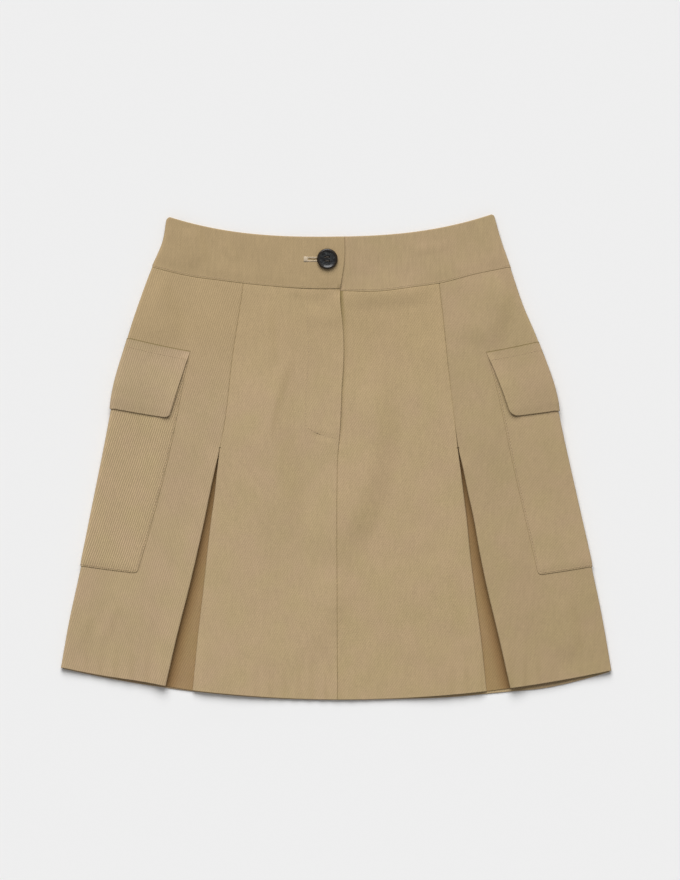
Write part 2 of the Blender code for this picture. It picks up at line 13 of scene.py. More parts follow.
import bpy
import numpy as np
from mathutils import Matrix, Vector


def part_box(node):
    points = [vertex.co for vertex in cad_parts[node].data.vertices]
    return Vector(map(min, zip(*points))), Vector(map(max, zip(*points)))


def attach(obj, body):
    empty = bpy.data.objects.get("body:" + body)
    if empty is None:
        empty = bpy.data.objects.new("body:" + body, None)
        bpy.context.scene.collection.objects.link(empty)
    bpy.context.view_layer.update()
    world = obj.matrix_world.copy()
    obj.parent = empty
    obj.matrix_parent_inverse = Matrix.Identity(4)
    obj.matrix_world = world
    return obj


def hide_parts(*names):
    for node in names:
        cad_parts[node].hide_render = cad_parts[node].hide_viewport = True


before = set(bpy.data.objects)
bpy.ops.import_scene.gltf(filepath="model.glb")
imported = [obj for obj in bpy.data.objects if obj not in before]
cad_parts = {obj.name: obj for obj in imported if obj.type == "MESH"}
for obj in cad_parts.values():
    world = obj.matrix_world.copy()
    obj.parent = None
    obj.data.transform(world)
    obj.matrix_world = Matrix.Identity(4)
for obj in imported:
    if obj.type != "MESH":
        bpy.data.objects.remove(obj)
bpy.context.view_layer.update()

bl_info = {
    "name": "Cargo utility skirt",
    "version": (1, 0, 0),
    "blender": (4, 5, 0),
    "location": "3D View > Sidebar > Skirt",
    "description": "Dresses a laid-out cargo skirt in twill, sewing and a horn button",
    "category": "Object",
}


def named_rows(columns, *rows):
    """A table's rows, whose values are read by the names of its columns."""
    Row = namedtuple("Row", columns)
    return [Row(*row) for row in rows]


MM = 0.001

# Cloth
CLOTH = 1.0  # room that one layer takes
BAND = 1.6  # the waistband, two layers pressed together
FLAP = 2.0  # a pocket flap, two layers with their turnings
GAP = 0.3  # between pieces that touch
LOOSE = 0.4  # between the layers of a pleat
SLACK = 0.35  # of that room, left free under a layer: the cloth itself is thinner

# Drops below the waist edge
SEAM_DROP = 49.5  # waistband seam
FLAP_TOP = 121.0
FLAP_BOTTOM = 191.5
POCKET_TOP = 135.0
POCKET_BOTTOM = 349.2
FLY_END = 206.0
PLEAT_TOP = 211.0  # where the panel seams open into pleats
UNDERLAY_TOP = 199.0
HEM = 451.0
HEM_DEPTH = 40.0

# Side folds, pleats and the fly
FOLD_RADIUS = 1.6  # inside of the fold at each side
SEAM_ANGLE = radians(5)  # half of the side seam, seen from the middle of the fold
TURN_RADIUS = 0.2  # inside of a pleat's folded edge
PLEAT_RETURN = 34.0  # how far a panel goes back under itself at a pleat
ZONE_MARGIN = 3.0
PLEAT_RAMP = 60.0
PLEAT_RISE = 140.0  # above the pleats, where the front settles onto their layers
PLEAT_FULL = 2.0
UNDERLAY_REACH = PLEAT_RETURN + 2.0
UNDERLAY_SINK = 0.6  # how much closer the underlay lies to the back
LAP = 28.0  # how far the left front goes under the right one at the fly
LAP_EASE = 2.0
LAP_RAMP = 48.0
FLY_RAMP = (-24.0, 26.0)  # from the fly's end, where the right front comes down below it
FLY_TAPER = (-45.0, -14.0)  # from the fly's end, where the lap narrows to nothing
FLY_EDGE_FADE = 30.0  # above the fly's end, where its edge stops standing up

# How far the front stands off the back
REST_GAP = 0.8
PLEAT_GAP = LOOSE + CLOTH + LOOSE + CLOTH + 2 * TURN_RADIUS
EDGE_GAP = 2 * FOLD_RADIUS
EDGE_RAMP = 45.0
BAND_STEP = 15.0  # below the waistband seam, where the back comes down to one layer

# Pockets and flaps
POCKET_RAMP = 25.0
POCKET_MARGIN = 1.5
FRONT_RAMP = 100.0  # the front spans what lies on the back, and comes down beside it more slowly
POCKET_CORNER = 4.0
FLAP_SLOPE = 52.0  # the top of a flap, which rises from the panel onto the pocket
FLAP_SEWN = 0.05  # between the panel and its very top
FLAP_PRESSED = 0.4  # height of its face there
FLAP_CURL = (1.8, 0.1)  # how much its front edge and its bottom stand up
FLAP_CURL_REACH = 11.0
FLAP_THINNED = 0.8  # how much thinner it is at its bottom
FLAP_FREE = 10.0  # below its top, where it curls in full
# How far a pocket reaches from the side at its top and low down, what its flap loses towards its bottom, and
# how much higher than at the side their lower edges end.
PocketWidths = namedtuple(
    "PocketWidths", "front_top front_low back_top back_low bow taper rise flap_rise flap_corner"
)
POCKET_WIDTHS = {
    "right": PocketWidths(60.5, 52.5, 57.0, 57.0, 3.7, 8.0, 3.5, 2.2, 4.0),
    "left": PocketWidths(50.0, 50.5, 68.0, 61.0, 0.5, 8.5, 2.0, 3.2, 7.0),
}
BAND_CORNERS = {"right": 4.0, "left": 2.0}  # rounding of the waistband's top at each side
BAND_REACH = FOLD_RADIUS + BAND  # how far it goes round a side, past the fold
BAND_PRESSED = 0.6  # how much thinner it is at its seam
BAND_PRESS_REACH = 12.0
LAP_PRESSED = 0.1  # how much closer its lap lies there

SIDES = {"right": -1, "left": 1}

# Where each level meets the two sides, and how much lower it hangs in the middle. A power over 2 keeps the
# middle of a level flatter than a parabola.
LEVELS = named_rows(
    "name drop right_x right_y left_x left_y dip power",
    ("waist edge", 0.0, -169.0, 240.6, 157.3, 243.1, 20.8, 2.5),
    ("mid band", 25.0, -173.4, 215.6, 165.0, 216.3, 22.0, 2.3),
    ("waist seam", 49.5, -183.8, 191.1, 174.6, 189.3, 23.1, 2.1),
    ("high hip", 83.0, -196.4, 157.6, 186.3, 154.6, 24.0, 2.0),
    ("flap top", 121.0, -208.8, 119.6, 202.5, 115.8, 24.5, 2.0),
    ("flap bottom", 191.5, -223.9, 48.6, 221.1, 46.6, 25.5, 2.0),
    ("pleat top", 211.0, -227.4, 29.6, 225.0, 27.6, 25.9, 2.0),
    ("thigh", 283.0, -241.7, -42.4, 240.6, -42.4, 27.0, 2.0),
    ("pocket bottom", 349.2, -255.1, -108.6, 255.7, -109.4, 28.0, 2.0),
    ("low", 403.0, -266.8, -162.4, 266.7, -162.4, 29.0, 2.0),
    ("hem", 451.0, -275.4, -210.4, 275.5, -213.4, 30.1, 2.0),
)

# Where the panel seams cross each level. Below the pleat top each seam becomes two folded edges: the side
# panel's and the centre panel's.
LINES = named_rows(
    "drop side_right centre_right centre_left side_left",
    (0.0, -88.0, -88.0, 99.0, 99.0),
    (49.5, -92.9, -92.9, 103.2, 103.2),
    (83.0, -97.9, -97.9, 107.1, 107.1),
    (121.0, -103.7, -103.7, 111.2, 111.2),
    (191.5, -112.4, -112.4, 119.4, 119.4),
    (211.0, -116.1, -116.1, 121.6, 122.2),
    (235.0, -121.4, -119.1, 124.8, 127.4),
    (259.0, -126.5, -121.7, 127.7, 132.2),
    (283.0, -131.3, -125.0, 130.7, 137.4),
    (316.0, -138.5, -128.9, 134.0, 143.3),
    (349.2, -146.2, -132.5, 138.2, 150.2),
    (403.0, -159.6, -138.8, 145.2, 162.8),
    (451.0, -170.5, -143.5, 150.6, 174.2),
)

# Where the fly's edge crosses each level, and the centre seam below it
MIDDLES = named_rows(
    "drop x",
    (0.0, 8.5), (22.0, 8.3), (36.0, 6.3), (49.5, 4.0), (66.0, 4.6), (83.0, 6.5), (100.0, 7.5), (121.0, 7.2),
    (145.0, 5.6), (168.0, 4.7), (191.5, 3.4), (211.0, 1.7), (245.0, 0.9), (349.2, 1.0), (451.0, 1.5),
)

# How much lower the waist seam runs than its level, on each half of the front
SEAM_PLACES = {
    "right": named_rows(
        "x lower",
        (-190.0, 1.3), (-140.0, 0.7), (-120.0, -0.5), (-80.0, -1.4), (-20.0, -1.5), (10.0, -1.8),
    ),
    "left": named_rows(
        "x lower",
        (-30.0, 0.3), (10.0, 0.5), (40.0, 1.8), (80.0, 0.5), (105.0, 0.4), (138.0, -1.8), (180.0, -0.5),
    ),
}

# How far the back hangs below the front's hem, and how far the front's hem itself is drawn up
HEM_PLACES = named_rows(
    "x below up",
    (-276.0, 0.8, 0.0), (-235.0, 0.8, 0.5), (-193.0, 0.8, 1.6), (-160.0, 0.8, 0.3), (-90.0, 0.8, 0.0),
    (70.0, 0.8, 0.0), (110.0, 2.0, 0.0), (165.0, 2.8, 0.0), (212.0, 4.8, 0.0), (250.0, 2.9, 0.0),
    (276.0, 0.8, 0.0),
)
HEM_BELOW_REACH = 30.0  # above the hem, where each of them starts
HEM_UP_REACH = 60.0

# Soft ridges and, with a height below 0, troughs. The bow bends one sideways, and the lean makes the side to
# the left of its way, seen from start to end, the steeper one.
CREASE_COLUMNS = "name start_x start_y end_x end_y bow half_width lean height"
FRONT_CREASES = named_rows(
    CREASE_COLUMNS,
    ("right of the fly", -72.0, 124.0, -44.0, -104.0, -8.0, 44.0, 0.25, 2.7),
    ("line above it", -40.0, 112.0, -70.0, 8.0, -4.0, 10.0, 0.3, 0.6),
    ("left of the fly", 30.0, 110.0, -20.0, -116.0, 26.0, 44.0, 0.25, 3.2),
    ("left hip", 172.0, 190.0, 146.0, 106.0, 0.0, 32.0, 0.3, 2.0),
    ("right hip", -188.0, 188.0, -156.0, 112.0, 0.0, 30.0, 0.4, 1.5),
    ("low centre", 12.0, -112.0, -64.0, -226.0, 6.0, 32.0, 0.2, 0.9),
    ("low left", 102.0, -92.0, 114.0, -186.0, 3.0, 26.0, 0.3, 0.9),
    ("pull under the band", -56.0, 171.0, -6.0, 163.0, 0.0, 14.0, -0.2, 0.8),
    ("pull to the fly", -40.0, 143.0, 14.0, 138.0, 0.0, 17.0, -0.2, 0.8),
    ("short ridge", -70.0, 158.0, -66.0, 88.0, 0.0, 12.0, 0.2, 0.8),
    ("under the left band", -4.0, 160.5, 106.0, 168.5, 0.0, 19.0, -0.1, 1.6),
    ("fly's tack", -26.0, 24.4, 4.0, 20.2, 0.0, 3.2, 0.6, -0.6),
    ("notch at the fly", 5.0, 173.0, 2.0, 162.0, 0.0, 3.2, 0.0, -0.9),
    ("right side, low", -236.0, -190.0, -216.0, -142.0, 2.0, 10.0, 0.0, 0.6),
    ("right side, lower", -262.0, -194.0, -246.0, -152.0, 0.0, 10.0, 0.0, 0.5),
    ("left side, low", 224.0, -132.0, 236.0, -206.0, 3.0, 20.0, 0.3, 1.0),
    ("band, right end", -146.0, 232.0, -136.0, 190.0, 2.0, 18.0, 0.3, 1.0),
    ("band, right", -116.0, 218.0, -96.0, 197.0, -2.0, 8.0, 0.0, 0.5),
    ("band, left", 74.0, 206.0, 116.0, 211.0, 1.0, 8.0, 0.0, 0.35),
)
BACK_CREASES = named_rows(
    CREASE_COLUMNS,
    ("back, right", -92.0, 124.0, -58.0, -66.0, 6.0, 26.0, 0.2, 0.5),
    ("back, left", 74.0, 104.0, 46.0, -92.0, -6.0, 27.0, 0.2, 0.5),
    ("back, right hip", -160.0, 168.0, -122.0, 116.0, 0.0, 17.0, 0.2, 0.4),
    ("back, left hip", 152.0, 166.0, 120.0, 112.0, 0.0, 17.0, 0.2, 0.4),
    ("back, low", 14.0, -84.0, -24.0, -232.0, 5.0, 28.0, 0.2, 0.5),
)
CREASE_EDGE = 16.0  # creases die out this far from the side folds
CREASE_FADE = 0.3  # the share of its length over which each end of a crease dies out

# Small ripples square to a seam, dying out away from it
Ripple = namedtuple("Ripple", "pitch height reach")
WAIST_RIPPLE = Ripple(8.5, 0.16, 13.0)
BAND_RIPPLE = Ripple(3.1, 0.10, 8.0)
PANEL_RIPPLE = Ripple(12.0, 0.10, 8.0)
HEM_RIPPLE = Ripple(15.0, 0.4, 48.0)
RIPPLE_STRAY = (1.3, 2.7)  # how far ripples stray along the seam, and over how many pitches that changes
RIPPLE_SIZE = (0.55, 0.45, 1.9)  # their usual height, how much it changes, and over how many pitches
RIPPLE_SHIFT = 2.3
BAND_RIPPLE_EDGE = 10.0  # the waistband's ripples die out this far from the side folds
PANEL_FADE = 30.0  # above a pleat, where the puckers of its panel seam end
CENTRE_FADE = 20.0  # above the fly's end, where those of the centre seam begin
SEAM_SLIT = 0.06  # between two pieces at a seam
SEAM_ROLL = 0.3  # how far the cloth goes down into a seam
WAIST_ROLL = 0.1
SEAM_REACH = 2.4
PLEAT_LIFT = 3.0  # how far a side panel's folded edge stands up
PLEAT_LIFT_REACH = 22.0
PLEAT_SLOPE = 1.3  # how far a centre panel's folded edge lies down
PLEAT_SLOPE_REACH = 9.0
PLEAT_OPENS = (-6.0, 22.0)  # from a pleat's top, where a side panel's edge comes to half of its lift
PLEAT_LIES = 90.0  # below a pleat's top, where a centre panel's edge comes down in full
FLY_LIFT = 0.9  # how far the fly's edge stands up
FLY_LIFT_REACH = 12.0
WAVINESS = 0.22  # height of the cloth's slow unevenness
WAVE_SIZE = 52.0
# It is made of waves, each turned and shifted against the last. Their lengths, for that size, start at the
# first value and grow by the second.
BUMPS = 6
BUMP_TURN = 2.4
BUMP_SHIFT = 1.7
BUMP_LENGTHS = (0.8, 0.31)

# Meshes
CELL = 2.6
BACK_CELL = 5.0
BAND_CELL = 1.0
EDGE_STEP = 0.15  # the first step in from an edge; each one after it is larger
EDGE_GROWTH = 2.0
EDGE_CLOSED = 0.12  # share of its thickness that a wall keeps at its very edge
QUARTER_TURNS = 7
PLEAT_TURNS = 8
WEAR_REACH = 2.2
SEAM_SHADE_REACH = 1.3
PANEL_ROUNDING = 0.4  # how far in from its edge a panel has its full thickness
BAND_ROUNDING = 0.6
BACK_BAND_ROUNDING = 0.75
FLAP_ROUNDING = 0.7
POCKET_PRESS = 0.6  # how much closer a pocket's sewn edges lie
HEM_CLOSER = 0.9  # the share of a wall's slack that its turned-up hem fills
HEM_STEP = 2.0
# The drops between which an edge is sewn, and how dark the painted shade along it is
UNSEWN = (HEM, HEM, 0.0)
SEWN = (0.0, HEM, 1.0)
SEWN_FLAT = (0.0, HEM, 0.6)
FLAP_SEWN_ON = (0.0, HEM, 12.0)
CENTRE_SEWN = (FLY_END, HEM, 1.2)
PLEAT_SEWN = (0.0, PLEAT_TOP, 1.0)
FOLD_SHADE = 6.0  # painted shade: how much darker the cloth is where a crease falls towards the wearer's left
HEM_SHADE = 0.8  # painted shade: how much darker it is low on the wearer's left
HEM_SHADE_RISE = (220.0, 30.0)  # how far above the hem that starts, and is full
HEM_SHADE_ACROSS = (-200.0, 250.0)
FLY_SHADE = (2.4, 11.0, 3.6)  # painted shadow: how much darker it is beside the fly's edge, the more at its top, and how far
FLY_SHADE_TOP = 45.0  # how far down that top reaches
PLEAT_SHADE = (8.0, 14.0)  # painted shade: how much darker it is inside a pleat beside the side panel, and how far from it
END_REACH = 24.0  # how far into a wall a column that starts low or ends high is drawn together

# Sewing
SEAM_STITCH = 1.9  # the waistband's topstitch, above its seam
FLAP_STITCH = 8.6  # a flap's topstitch, below its top
FLAP_STITCH_ENDS = 3  # how many of a flap's columns it leaves free at each end
POCKET_STITCH = 1.7  # a pocket's topstitch, inside its edges
POCKET_STITCH_START = 8.0  # below the pocket's top
POCKET_STITCH_STEP = 3.0
POCKET_STITCH_DEEP = 0.25  # how deep in the pocket's face it lies
CORNER_CLEAR = 0.05  # a column is in a pocket's rounded corner if it ends higher than the rest by this much
FLY_STATIONS = 120
NEEDLE_MARK = 0.21
BAND_MARK = 0.3
POCKET_DARK = {"right": 1.2, "left": 0.5}  # how dark the painted shade along a pocket's front edge is
STITCH_SIDES = 6
STITCH_STATIONS = 5
THREAD_ENDS = (0.12, 0.88)  # where a thread's rounded ends are cut, as shares of half a turn
THREAD_FLAT = 0.8  # how high a stitch is for its width
STITCH_ARCH = 1.5  # how far a stitch's middle stands above its ends, and how deep those are, in half widths
STITCH_DEEP = 0.7
STITCH_SHIFT = 0.08  # how unevenly a line of stitches starts and each of them is turned
STITCH_TURN = 0.05
MARK_DEPTH = 0.12
BAND_SUNK = 0.1  # the share of its thickness by which a thread is sunk into the cloth
POCKET_SUNK = 0.35
FLY_SUNK = 0.3
# The fly's curved line of stitches, from its edge at the waist to its end
FLY_STITCHES = named_rows(
    "from_middle drop",
    (-32.3, 50.6), (-35.0, 83.0), (-35.2, 121.0), (-35.4, 160.0), (-35.3, 176.0), (-33.6, 182.6),
    (-27.0, 187.2), (-15.2, 191.6), (-3.2, 194.2),
)
FLY_TURN = 184.0  # where the fly's stitches turn to its edge

# Button and buttonhole
BUTTON_PLACE = (-8.8, 198.7)
BUTTON_RADIUS = 10.4
BUTTON_THICK = 3.2
BUTTON_HOLES = 4
BUTTON_HOLE = 0.95
BUTTON_HOLE_SIDES = 28
BUTTON_HOLE_SPREAD = 2.7
BUTTON_SIDES = 96
# The button's profile, from its underside round its edge into its dish
BUTTON_RINGS = named_rows(
    "from_edge height",
    (1.6, 0.0), (0.7, 0.25), (0.2, 0.9), (0.0, 1.7), (0.12, 2.4), (0.5, 2.9), (1.1, 3.15), (1.7, 3.2),
    (2.2, 3.05), (2.8, 2.65), (3.6, 2.35), (5.4, 2.22), (8.0, 2.2),
)
BUTTON_RIM = (1.2, 3.0)  # from its edge, where the rim's colour fades out
BUTTON_SHARP = radians(50)  # an edge at which its faces meet more steeply shows as one
BUTTON_THREAD = (0.05, 0.035, 0.022)
STRANDS = (-0.3, 0.0, 0.3)  # where the threads of a pair of holes lie beside each other
STRAND = 0.24
STRAND_ENDS = 1.4  # how deep in the holes they start
STRAND_RISE = 1.75
STRAND_STEEP = 2.2
STRAND_STATIONS = 9
STRAND_WAY = np.array((0.6, 0.0, 0.8))  # the way out of a thread where it goes down
STRAND_DOWN = 0.5  # how much lower the outer ones are, for each millimetre beside the middle one
STEM = 0.7  # the thread between the button and the band, how far below the button it starts, and its height
STEM_DOWN = 0.75
STEM_HEIGHT = 0.9
STEM_LEAN = 0.2  # how far its lower end is drawn to the button's middle
HOLE_START = -32.1  # outer end of the buttonhole's bar
HOLE_SLIT = (-28.4, -7.0)
HOLE_BAR = 2.8  # half of the bar's height
HOLE_THREAD = 0.36
HOLE_RISE = (0.1, 0.32)  # how high the threads' ends lie over the band, and how much higher their middles
HOLE_UNEVEN = (0.12, 0.1, 0.15)  # of the side rows' reach, of their slant and of the bar's height
HOLE_EDGE = (1.0, 2.45)  # a side row's reach from the slit's middle
HOLE_PITCH = 0.62
HOLE_BAR_END = HOLE_SLIT[0] + 0.2
HOLE_BAR_PITCH = 0.8 * HOLE_PITCH
HOLE_LOWER = 0.3  # how much lower than the button's middle it is
# The buttonhole's slit is coloured with painted shade, the dark inside its opening
SLIT_SHADE_COLOUR = (0.09, 0.062, 0.032)
SLIT_HEIGHT = 0.16  # above the band's face
SLIT_START = 0.4
SLIT_STATIONS = 40
SLIT_POINT = 0.125  # the share of its length over which it widens
SLIT_HALF = 0.8  # half of its width
SLIT_WAVER = (0.28, 0.9)  # how far it wavers, and how fast along its length
SLIT_EDGE = 0.3  # how much lower its edges lie than its middle
SLIT_DEPTH = 0.7

# Stage
KEY_PLACE = (-0.22, 2.0, 1.9)
FLOOR_SIZE = 30.0
FLOOR_DOWN = 0.0004  # how far it is below the skirt
# The sky is as bright as the floor below the horizon, because a low view starts under the floor in part
UNDER_FLOOR = 0.87
HORIZON = (-0.002, 0.0)
VIEW_HEIGHT = 0.880
VIEW_DISTANCE = 1.5
VIEW_PLACE = (3.9, 17.6)  # the place under the camera


def eased(start, end, value):
    """0 before start and 1 after end, with an S curve between."""
    share = np.clip((value - start) / (end - start), 0.0, 1.0)
    return share * share * (3.0 - 2.0 * share)


def near(reach, distance):
    """1 at a place, easing down to 0 at a reach from it."""
    return 1 - eased(0.0, reach, distance)


def arch(share):
    """0 at both ends and 1 in the middle."""
    return 4 * share * (1 - share)


def unit(ways):
    """Ways with a length of 1."""
    return ways / np.linalg.norm(ways, axis=-1, keepdims=True)


def curve_through(stations, values):
    """A smooth line through the values at the stations."""
    stations = np.array(stations, float)
    values = np.array(values)
    slopes = np.gradient(values, stations)

    def at(station):
        k = np.clip(np.searchsorted(stations, station) - 1, 0, len(stations) - 2)
        span = stations[k + 1] - stations[k]
        t = (station - stations[k]) / span
        return (
            (2 * t**3 - 3 * t**2 + 1) * values[k]
            + (t**3 - 2 * t**2 + t) * span * slopes[k]
            + (3 * t**2 - 2 * t**3) * values[k + 1]
            + (t**3 - t**2) * span * slopes[k + 1]
        )

    return at


def columns_of(table, along=None):
    """A smooth line for each column of a table, by its name, along one of its columns or row by row."""
    places = [getattr(row, along) for row in table] if along else range(len(table))
    names = [name for name in table[0]._fields if name not in ("name", along)]
    return {name: curve_through(places, [getattr(row, name) for row in table]) for name in names}


LEVEL = columns_of(LEVELS, "drop")
LINE = columns_of(LINES, "drop")
MIDDLE = columns_of(MIDDLES, "drop")["x"]
HEM_LINE = columns_of(HEM_PLACES, "x")
SEAM_LINE = {side: columns_of(places, "x")["lower"] for side, places in SEAM_PLACES.items()}


def fold_x(side, drop):
    """Where the fold at a side starts: the panel's outline less its wall and the fold's radius."""
    return LEVEL[f"{side}_x"](drop) - SIDES[side] * (CLOTH + FOLD_RADIUS)


def level_y(x, drop):
    """Height on the page of a level at x."""
    low, high = fold_x("right", drop), fold_x("left", drop)
    share = (x - low) / (high - low)
    ends = LEVEL["right_y"](drop) * (1 - share) + LEVEL["left_y"](drop) * share
    return ends - LEVEL["dip"](drop) * (1 - np.abs(2 * share - 1) ** LEVEL["power"](drop))


def inwards(side, x, drop):
    """Distance from the fold at a side."""
    return SIDES[side] * (fold_x(side, drop) - x)


def from_folds(x, drop):
    """Distance from the nearer side fold."""
    return np.minimum(inwards("right", x, drop), inwards("left", x, drop))


def pocket_width(side, face, drop):
    """How far a pocket reaches from the side onto the front or the back."""
    widths = POCKET_WIDTHS[side]
    share = np.clip((drop - FLAP_TOP) / (POCKET_BOTTOM - FLAP_TOP), 0.0, 1.0)
    top, low = getattr(widths, f"{face}_top"), getattr(widths, f"{face}_low")
    return top + (low - top) * share + widths.bow * arch(share)


def under_zone(side, x, drop, top, bottom, ramp):
    """1 over what lies under the back at a side, between two drops, and 0 clear of it."""
    edge = pocket_width(side, "back", drop) + POCKET_MARGIN
    across = 1 - eased(edge, edge + ramp, inwards(side, x, drop))
    above = eased(top - POCKET_MARGIN - ramp, top - POCKET_MARGIN, drop)
    below = 1 - eased(bottom + POCKET_MARGIN, bottom + POCKET_MARGIN + ramp, drop)
    return across * above * below


def carried(x, drop, ramp, step):
    """Height of the layers below: the back with the pockets and flaps under it."""
    height = CLOTH + (BAND - CLOTH) * (1 - eased(SEAM_DROP, SEAM_DROP + step, drop))
    for side in SIDES:
        height = height + (CLOTH + GAP) * under_zone(side, x, drop, FLAP_TOP, POCKET_BOTTOM, ramp)
        height = height + (FLAP + GAP) * under_zone(side, x, drop, FLAP_TOP, FLAP_BOTTOM, ramp)
    return height


def back_inside(x, drop):
    """Height of the back's inner face, which closely follows what lies under it."""
    return carried(x, drop, POCKET_RAMP, BAND_STEP)


def pleat_zone(x, drop):
    """1 over a pleat's hidden layers and 0 clear of them."""
    full = PLEAT_TOP - PLEAT_FULL
    reach = PLEAT_RETURN + ZONE_MARGIN
    zone = 0.0
    for side, sign in SIDES.items():
        outer = sign * (x - LINE[f"side_{side}"](drop)) - reach
        inner = sign * (LINE[f"centre_{side}"](drop) - x) - reach
        zone = np.maximum(zone, near(PLEAT_RAMP, np.maximum(outer, inner)))
    return eased(full - PLEAT_RISE, full, drop) * zone


def lap_zone(x, drop, fly):
    """1 where the right front lies on the left one, 0 clear of it. Down the fly it ends at the fly's end."""
    full = LAP + LAP_EASE
    across = 1 - eased(full, full + LAP_RAMP, MIDDLE(drop) - x)
    down = 1 - eased(FLY_END + FLY_RAMP[0], FLY_END + FLY_RAMP[1], drop) if fly else 1.0
    return across * down


def lap_at(drop):
    """How far the left front goes under the right one at a drop."""
    return LAP * (1 - eased(FLY_END + FLY_TAPER[0], FLY_END + FLY_TAPER[1], drop))


def above_fly_end(drop):
    """1 down the fly and 0 below its end."""
    return 1 - eased(FLY_END - FLY_EDGE_FADE, FLY_END, drop)


def relief(creases, x, y):
    """Height that the creases give the cloth at a place."""
    height = 0.0
    for crease in creases:
        way = np.array((crease.end_x - crease.start_x, crease.end_y - crease.start_y))
        length = np.hypot(*way)
        way /= length
        ahead = (x - crease.start_x) * way[0] + (y - crease.start_y) * way[1]
        across = (y - crease.start_y) * way[0] - (x - crease.start_x) * way[1]
        share = np.clip(ahead / length, 0.0, 1.0)
        past = ahead - share * length
        # A bow bends the line to the left of its way, and the left side is the steeper one
        across = across - crease.bow * arch(share)
        width = crease.half_width * np.where(across > 0, 1 - crease.lean, 1 + crease.lean)
        away = np.hypot(across / width, past / crease.half_width)
        fade = eased(0.0, CREASE_FADE, np.minimum(share, 1 - share))
        height = height + crease.height * fade * near(1.0, away)
    return height


def unevenness(x, y, size, turn):
    """Slow unevenness from about -1 to 1, in bumps of about a size."""
    total = 0.0
    first, longer = BUMP_LENGTHS
    for k in range(BUMPS):
        angle = turn + BUMP_TURN * k
        along = x * cos(angle) + y * sin(angle)
        total = total + np.sin(2 * pi * along / (size * (first + longer * k)) + BUMP_SHIFT * k * turn)
    return total / (BUMPS / 2)


def ripples(ripple, along, away, turn):
    """Uneven ripples along a seam, dying out away from it."""
    far, slowly = RIPPLE_STRAY
    bend = far * np.sin(along / (slowly * ripple.pitch) + turn)
    usual, change, slowly = RIPPLE_SIZE
    size = usual + change * np.sin(along / (slowly * ripple.pitch) + RIPPLE_SHIFT * turn)
    wave = np.sin(2 * pi * along / ripple.pitch + bend)
    return ripple.height * size * wave * near(ripple.reach, np.abs(away))


def fold_shade(x, drop):
    """Painted shade: how much darker the front is where a crease falls towards the wearer's left, as if lit
    from the wearer's right, and low on that side.
    """
    y = level_y(x, drop)
    before, after = (
        relief(FRONT_CREASES, x + step, y) + ripples(HEM_RIPPLE, x + step, HEM - drop, 1.1)
        for step in (-1, 1)
    )
    low = eased(HEM - HEM_SHADE_RISE[0], HEM - HEM_SHADE_RISE[1], drop) * eased(*HEM_SHADE_ACROSS, x)
    return FOLD_SHADE * np.maximum((before - after) / 2, 0.0) + HEM_SHADE * low


def back_surface(x, drop):
    """Height of the back's inner face with its creases, which only lift it."""
    clear = eased(0.0, CREASE_EDGE, from_folds(x, drop))
    return back_inside(x, drop) + relief(BACK_CREASES, x, level_y(x, drop)) * clear


def front_surface(x, drop):
    """Height of the front's inner face, with its folds, creases and slow unevenness."""
    edge = from_folds(x, drop)
    puff = near(EDGE_RAMP, edge)
    y = level_y(x, drop)
    gap = REST_GAP + (EDGE_GAP - REST_GAP) * puff
    gap = gap + (PLEAT_GAP - REST_GAP) * pleat_zone(x, drop) * (1 - puff)
    soft = relief(FRONT_CREASES, x, y) + WAVINESS * (1 + unevenness(x, y, WAVE_SIZE, 1.0))
    return carried(x, drop, FRONT_RAMP, FRONT_RAMP) + gap + soft * eased(0.0, CREASE_EDGE, edge)


def panel_surface(x, drop):
    """The front panels' inner face: the front with what its seams do to it."""
    seam = drop - SEAM_DROP
    height = ripples(WAIST_RIPPLE, x, seam, 0.4) - WAIST_ROLL * near(SEAM_REACH, seam)
    closed = 1 - eased(PLEAT_TOP - PANEL_FADE, PLEAT_TOP, drop)
    seams = [(closed, LINE[f"side_{side}"](drop), sign) for side, sign in SIDES.items()]
    seams.append((eased(FLY_END - CENTRE_FADE, FLY_END, drop), MIDDLE(drop), 2.0))
    for sewn, line, turn in seams:
        away = np.abs(x - line)
        puckers = ripples(PANEL_RIPPLE, drop, away, turn)
        height = height + sewn * (puckers - SEAM_ROLL * near(SEAM_REACH, away))
    height = height + ripples(HEM_RIPPLE, x, HEM - drop, 1.1)
    return front_surface(x, drop) + height * eased(0.0, CREASE_EDGE, from_folds(x, drop))


def side_surface(side, x, drop):
    """A side front panel's inner face, whose folded edge stands up at the pleat."""
    beside = near(PLEAT_LIFT_REACH, np.abs(x - LINE[f"side_{side}"](drop)))
    start, end = (PLEAT_TOP + below for below in PLEAT_OPENS)
    opened = (eased(start, end, drop) + eased(PLEAT_TOP, HEM, drop)) / 2
    return panel_surface(x, drop) + PLEAT_LIFT * beside * opened


def centre_surface(side, x, drop):
    """A centre front panel's inner face, whose folded edge lies down at the pleat. The right one laps over
    the left one at the fly."""
    beside = near(PLEAT_SLOPE_REACH, np.abs(x - LINE[f"centre_{side}"](drop)))
    height = panel_surface(x, drop) - PLEAT_SLOPE * beside * eased(PLEAT_TOP, PLEAT_TOP + PLEAT_LIES, drop)
    if side == "left":
        return height
    edge = near(FLY_LIFT_REACH, MIDDLE(drop) - x) * eased(SEAM_DROP, SEAM_DROP + FLY_LIFT_REACH, drop)
    lifted = CLOTH + GAP + FLY_LIFT * edge * above_fly_end(drop)
    return height + lifted * lap_zone(x, drop, fly=True)


def band_surface(side, x, drop):
    """The front waistband's inner face. The right one laps over the left one."""
    clear = eased(0.0, BAND_RIPPLE_EDGE, from_folds(x, drop))
    height = front_surface(x, drop) + ripples(BAND_RIPPLE, x, SEAM_DROP - drop, 0.7) * clear
    if side == "left":
        return height
    lifted = BAND + GAP - LAP_PRESSED * eased(SEAM_DROP - BAND_PRESS_REACH, SEAM_DROP, drop)
    return height + lifted * lap_zone(x, drop, fly=False)


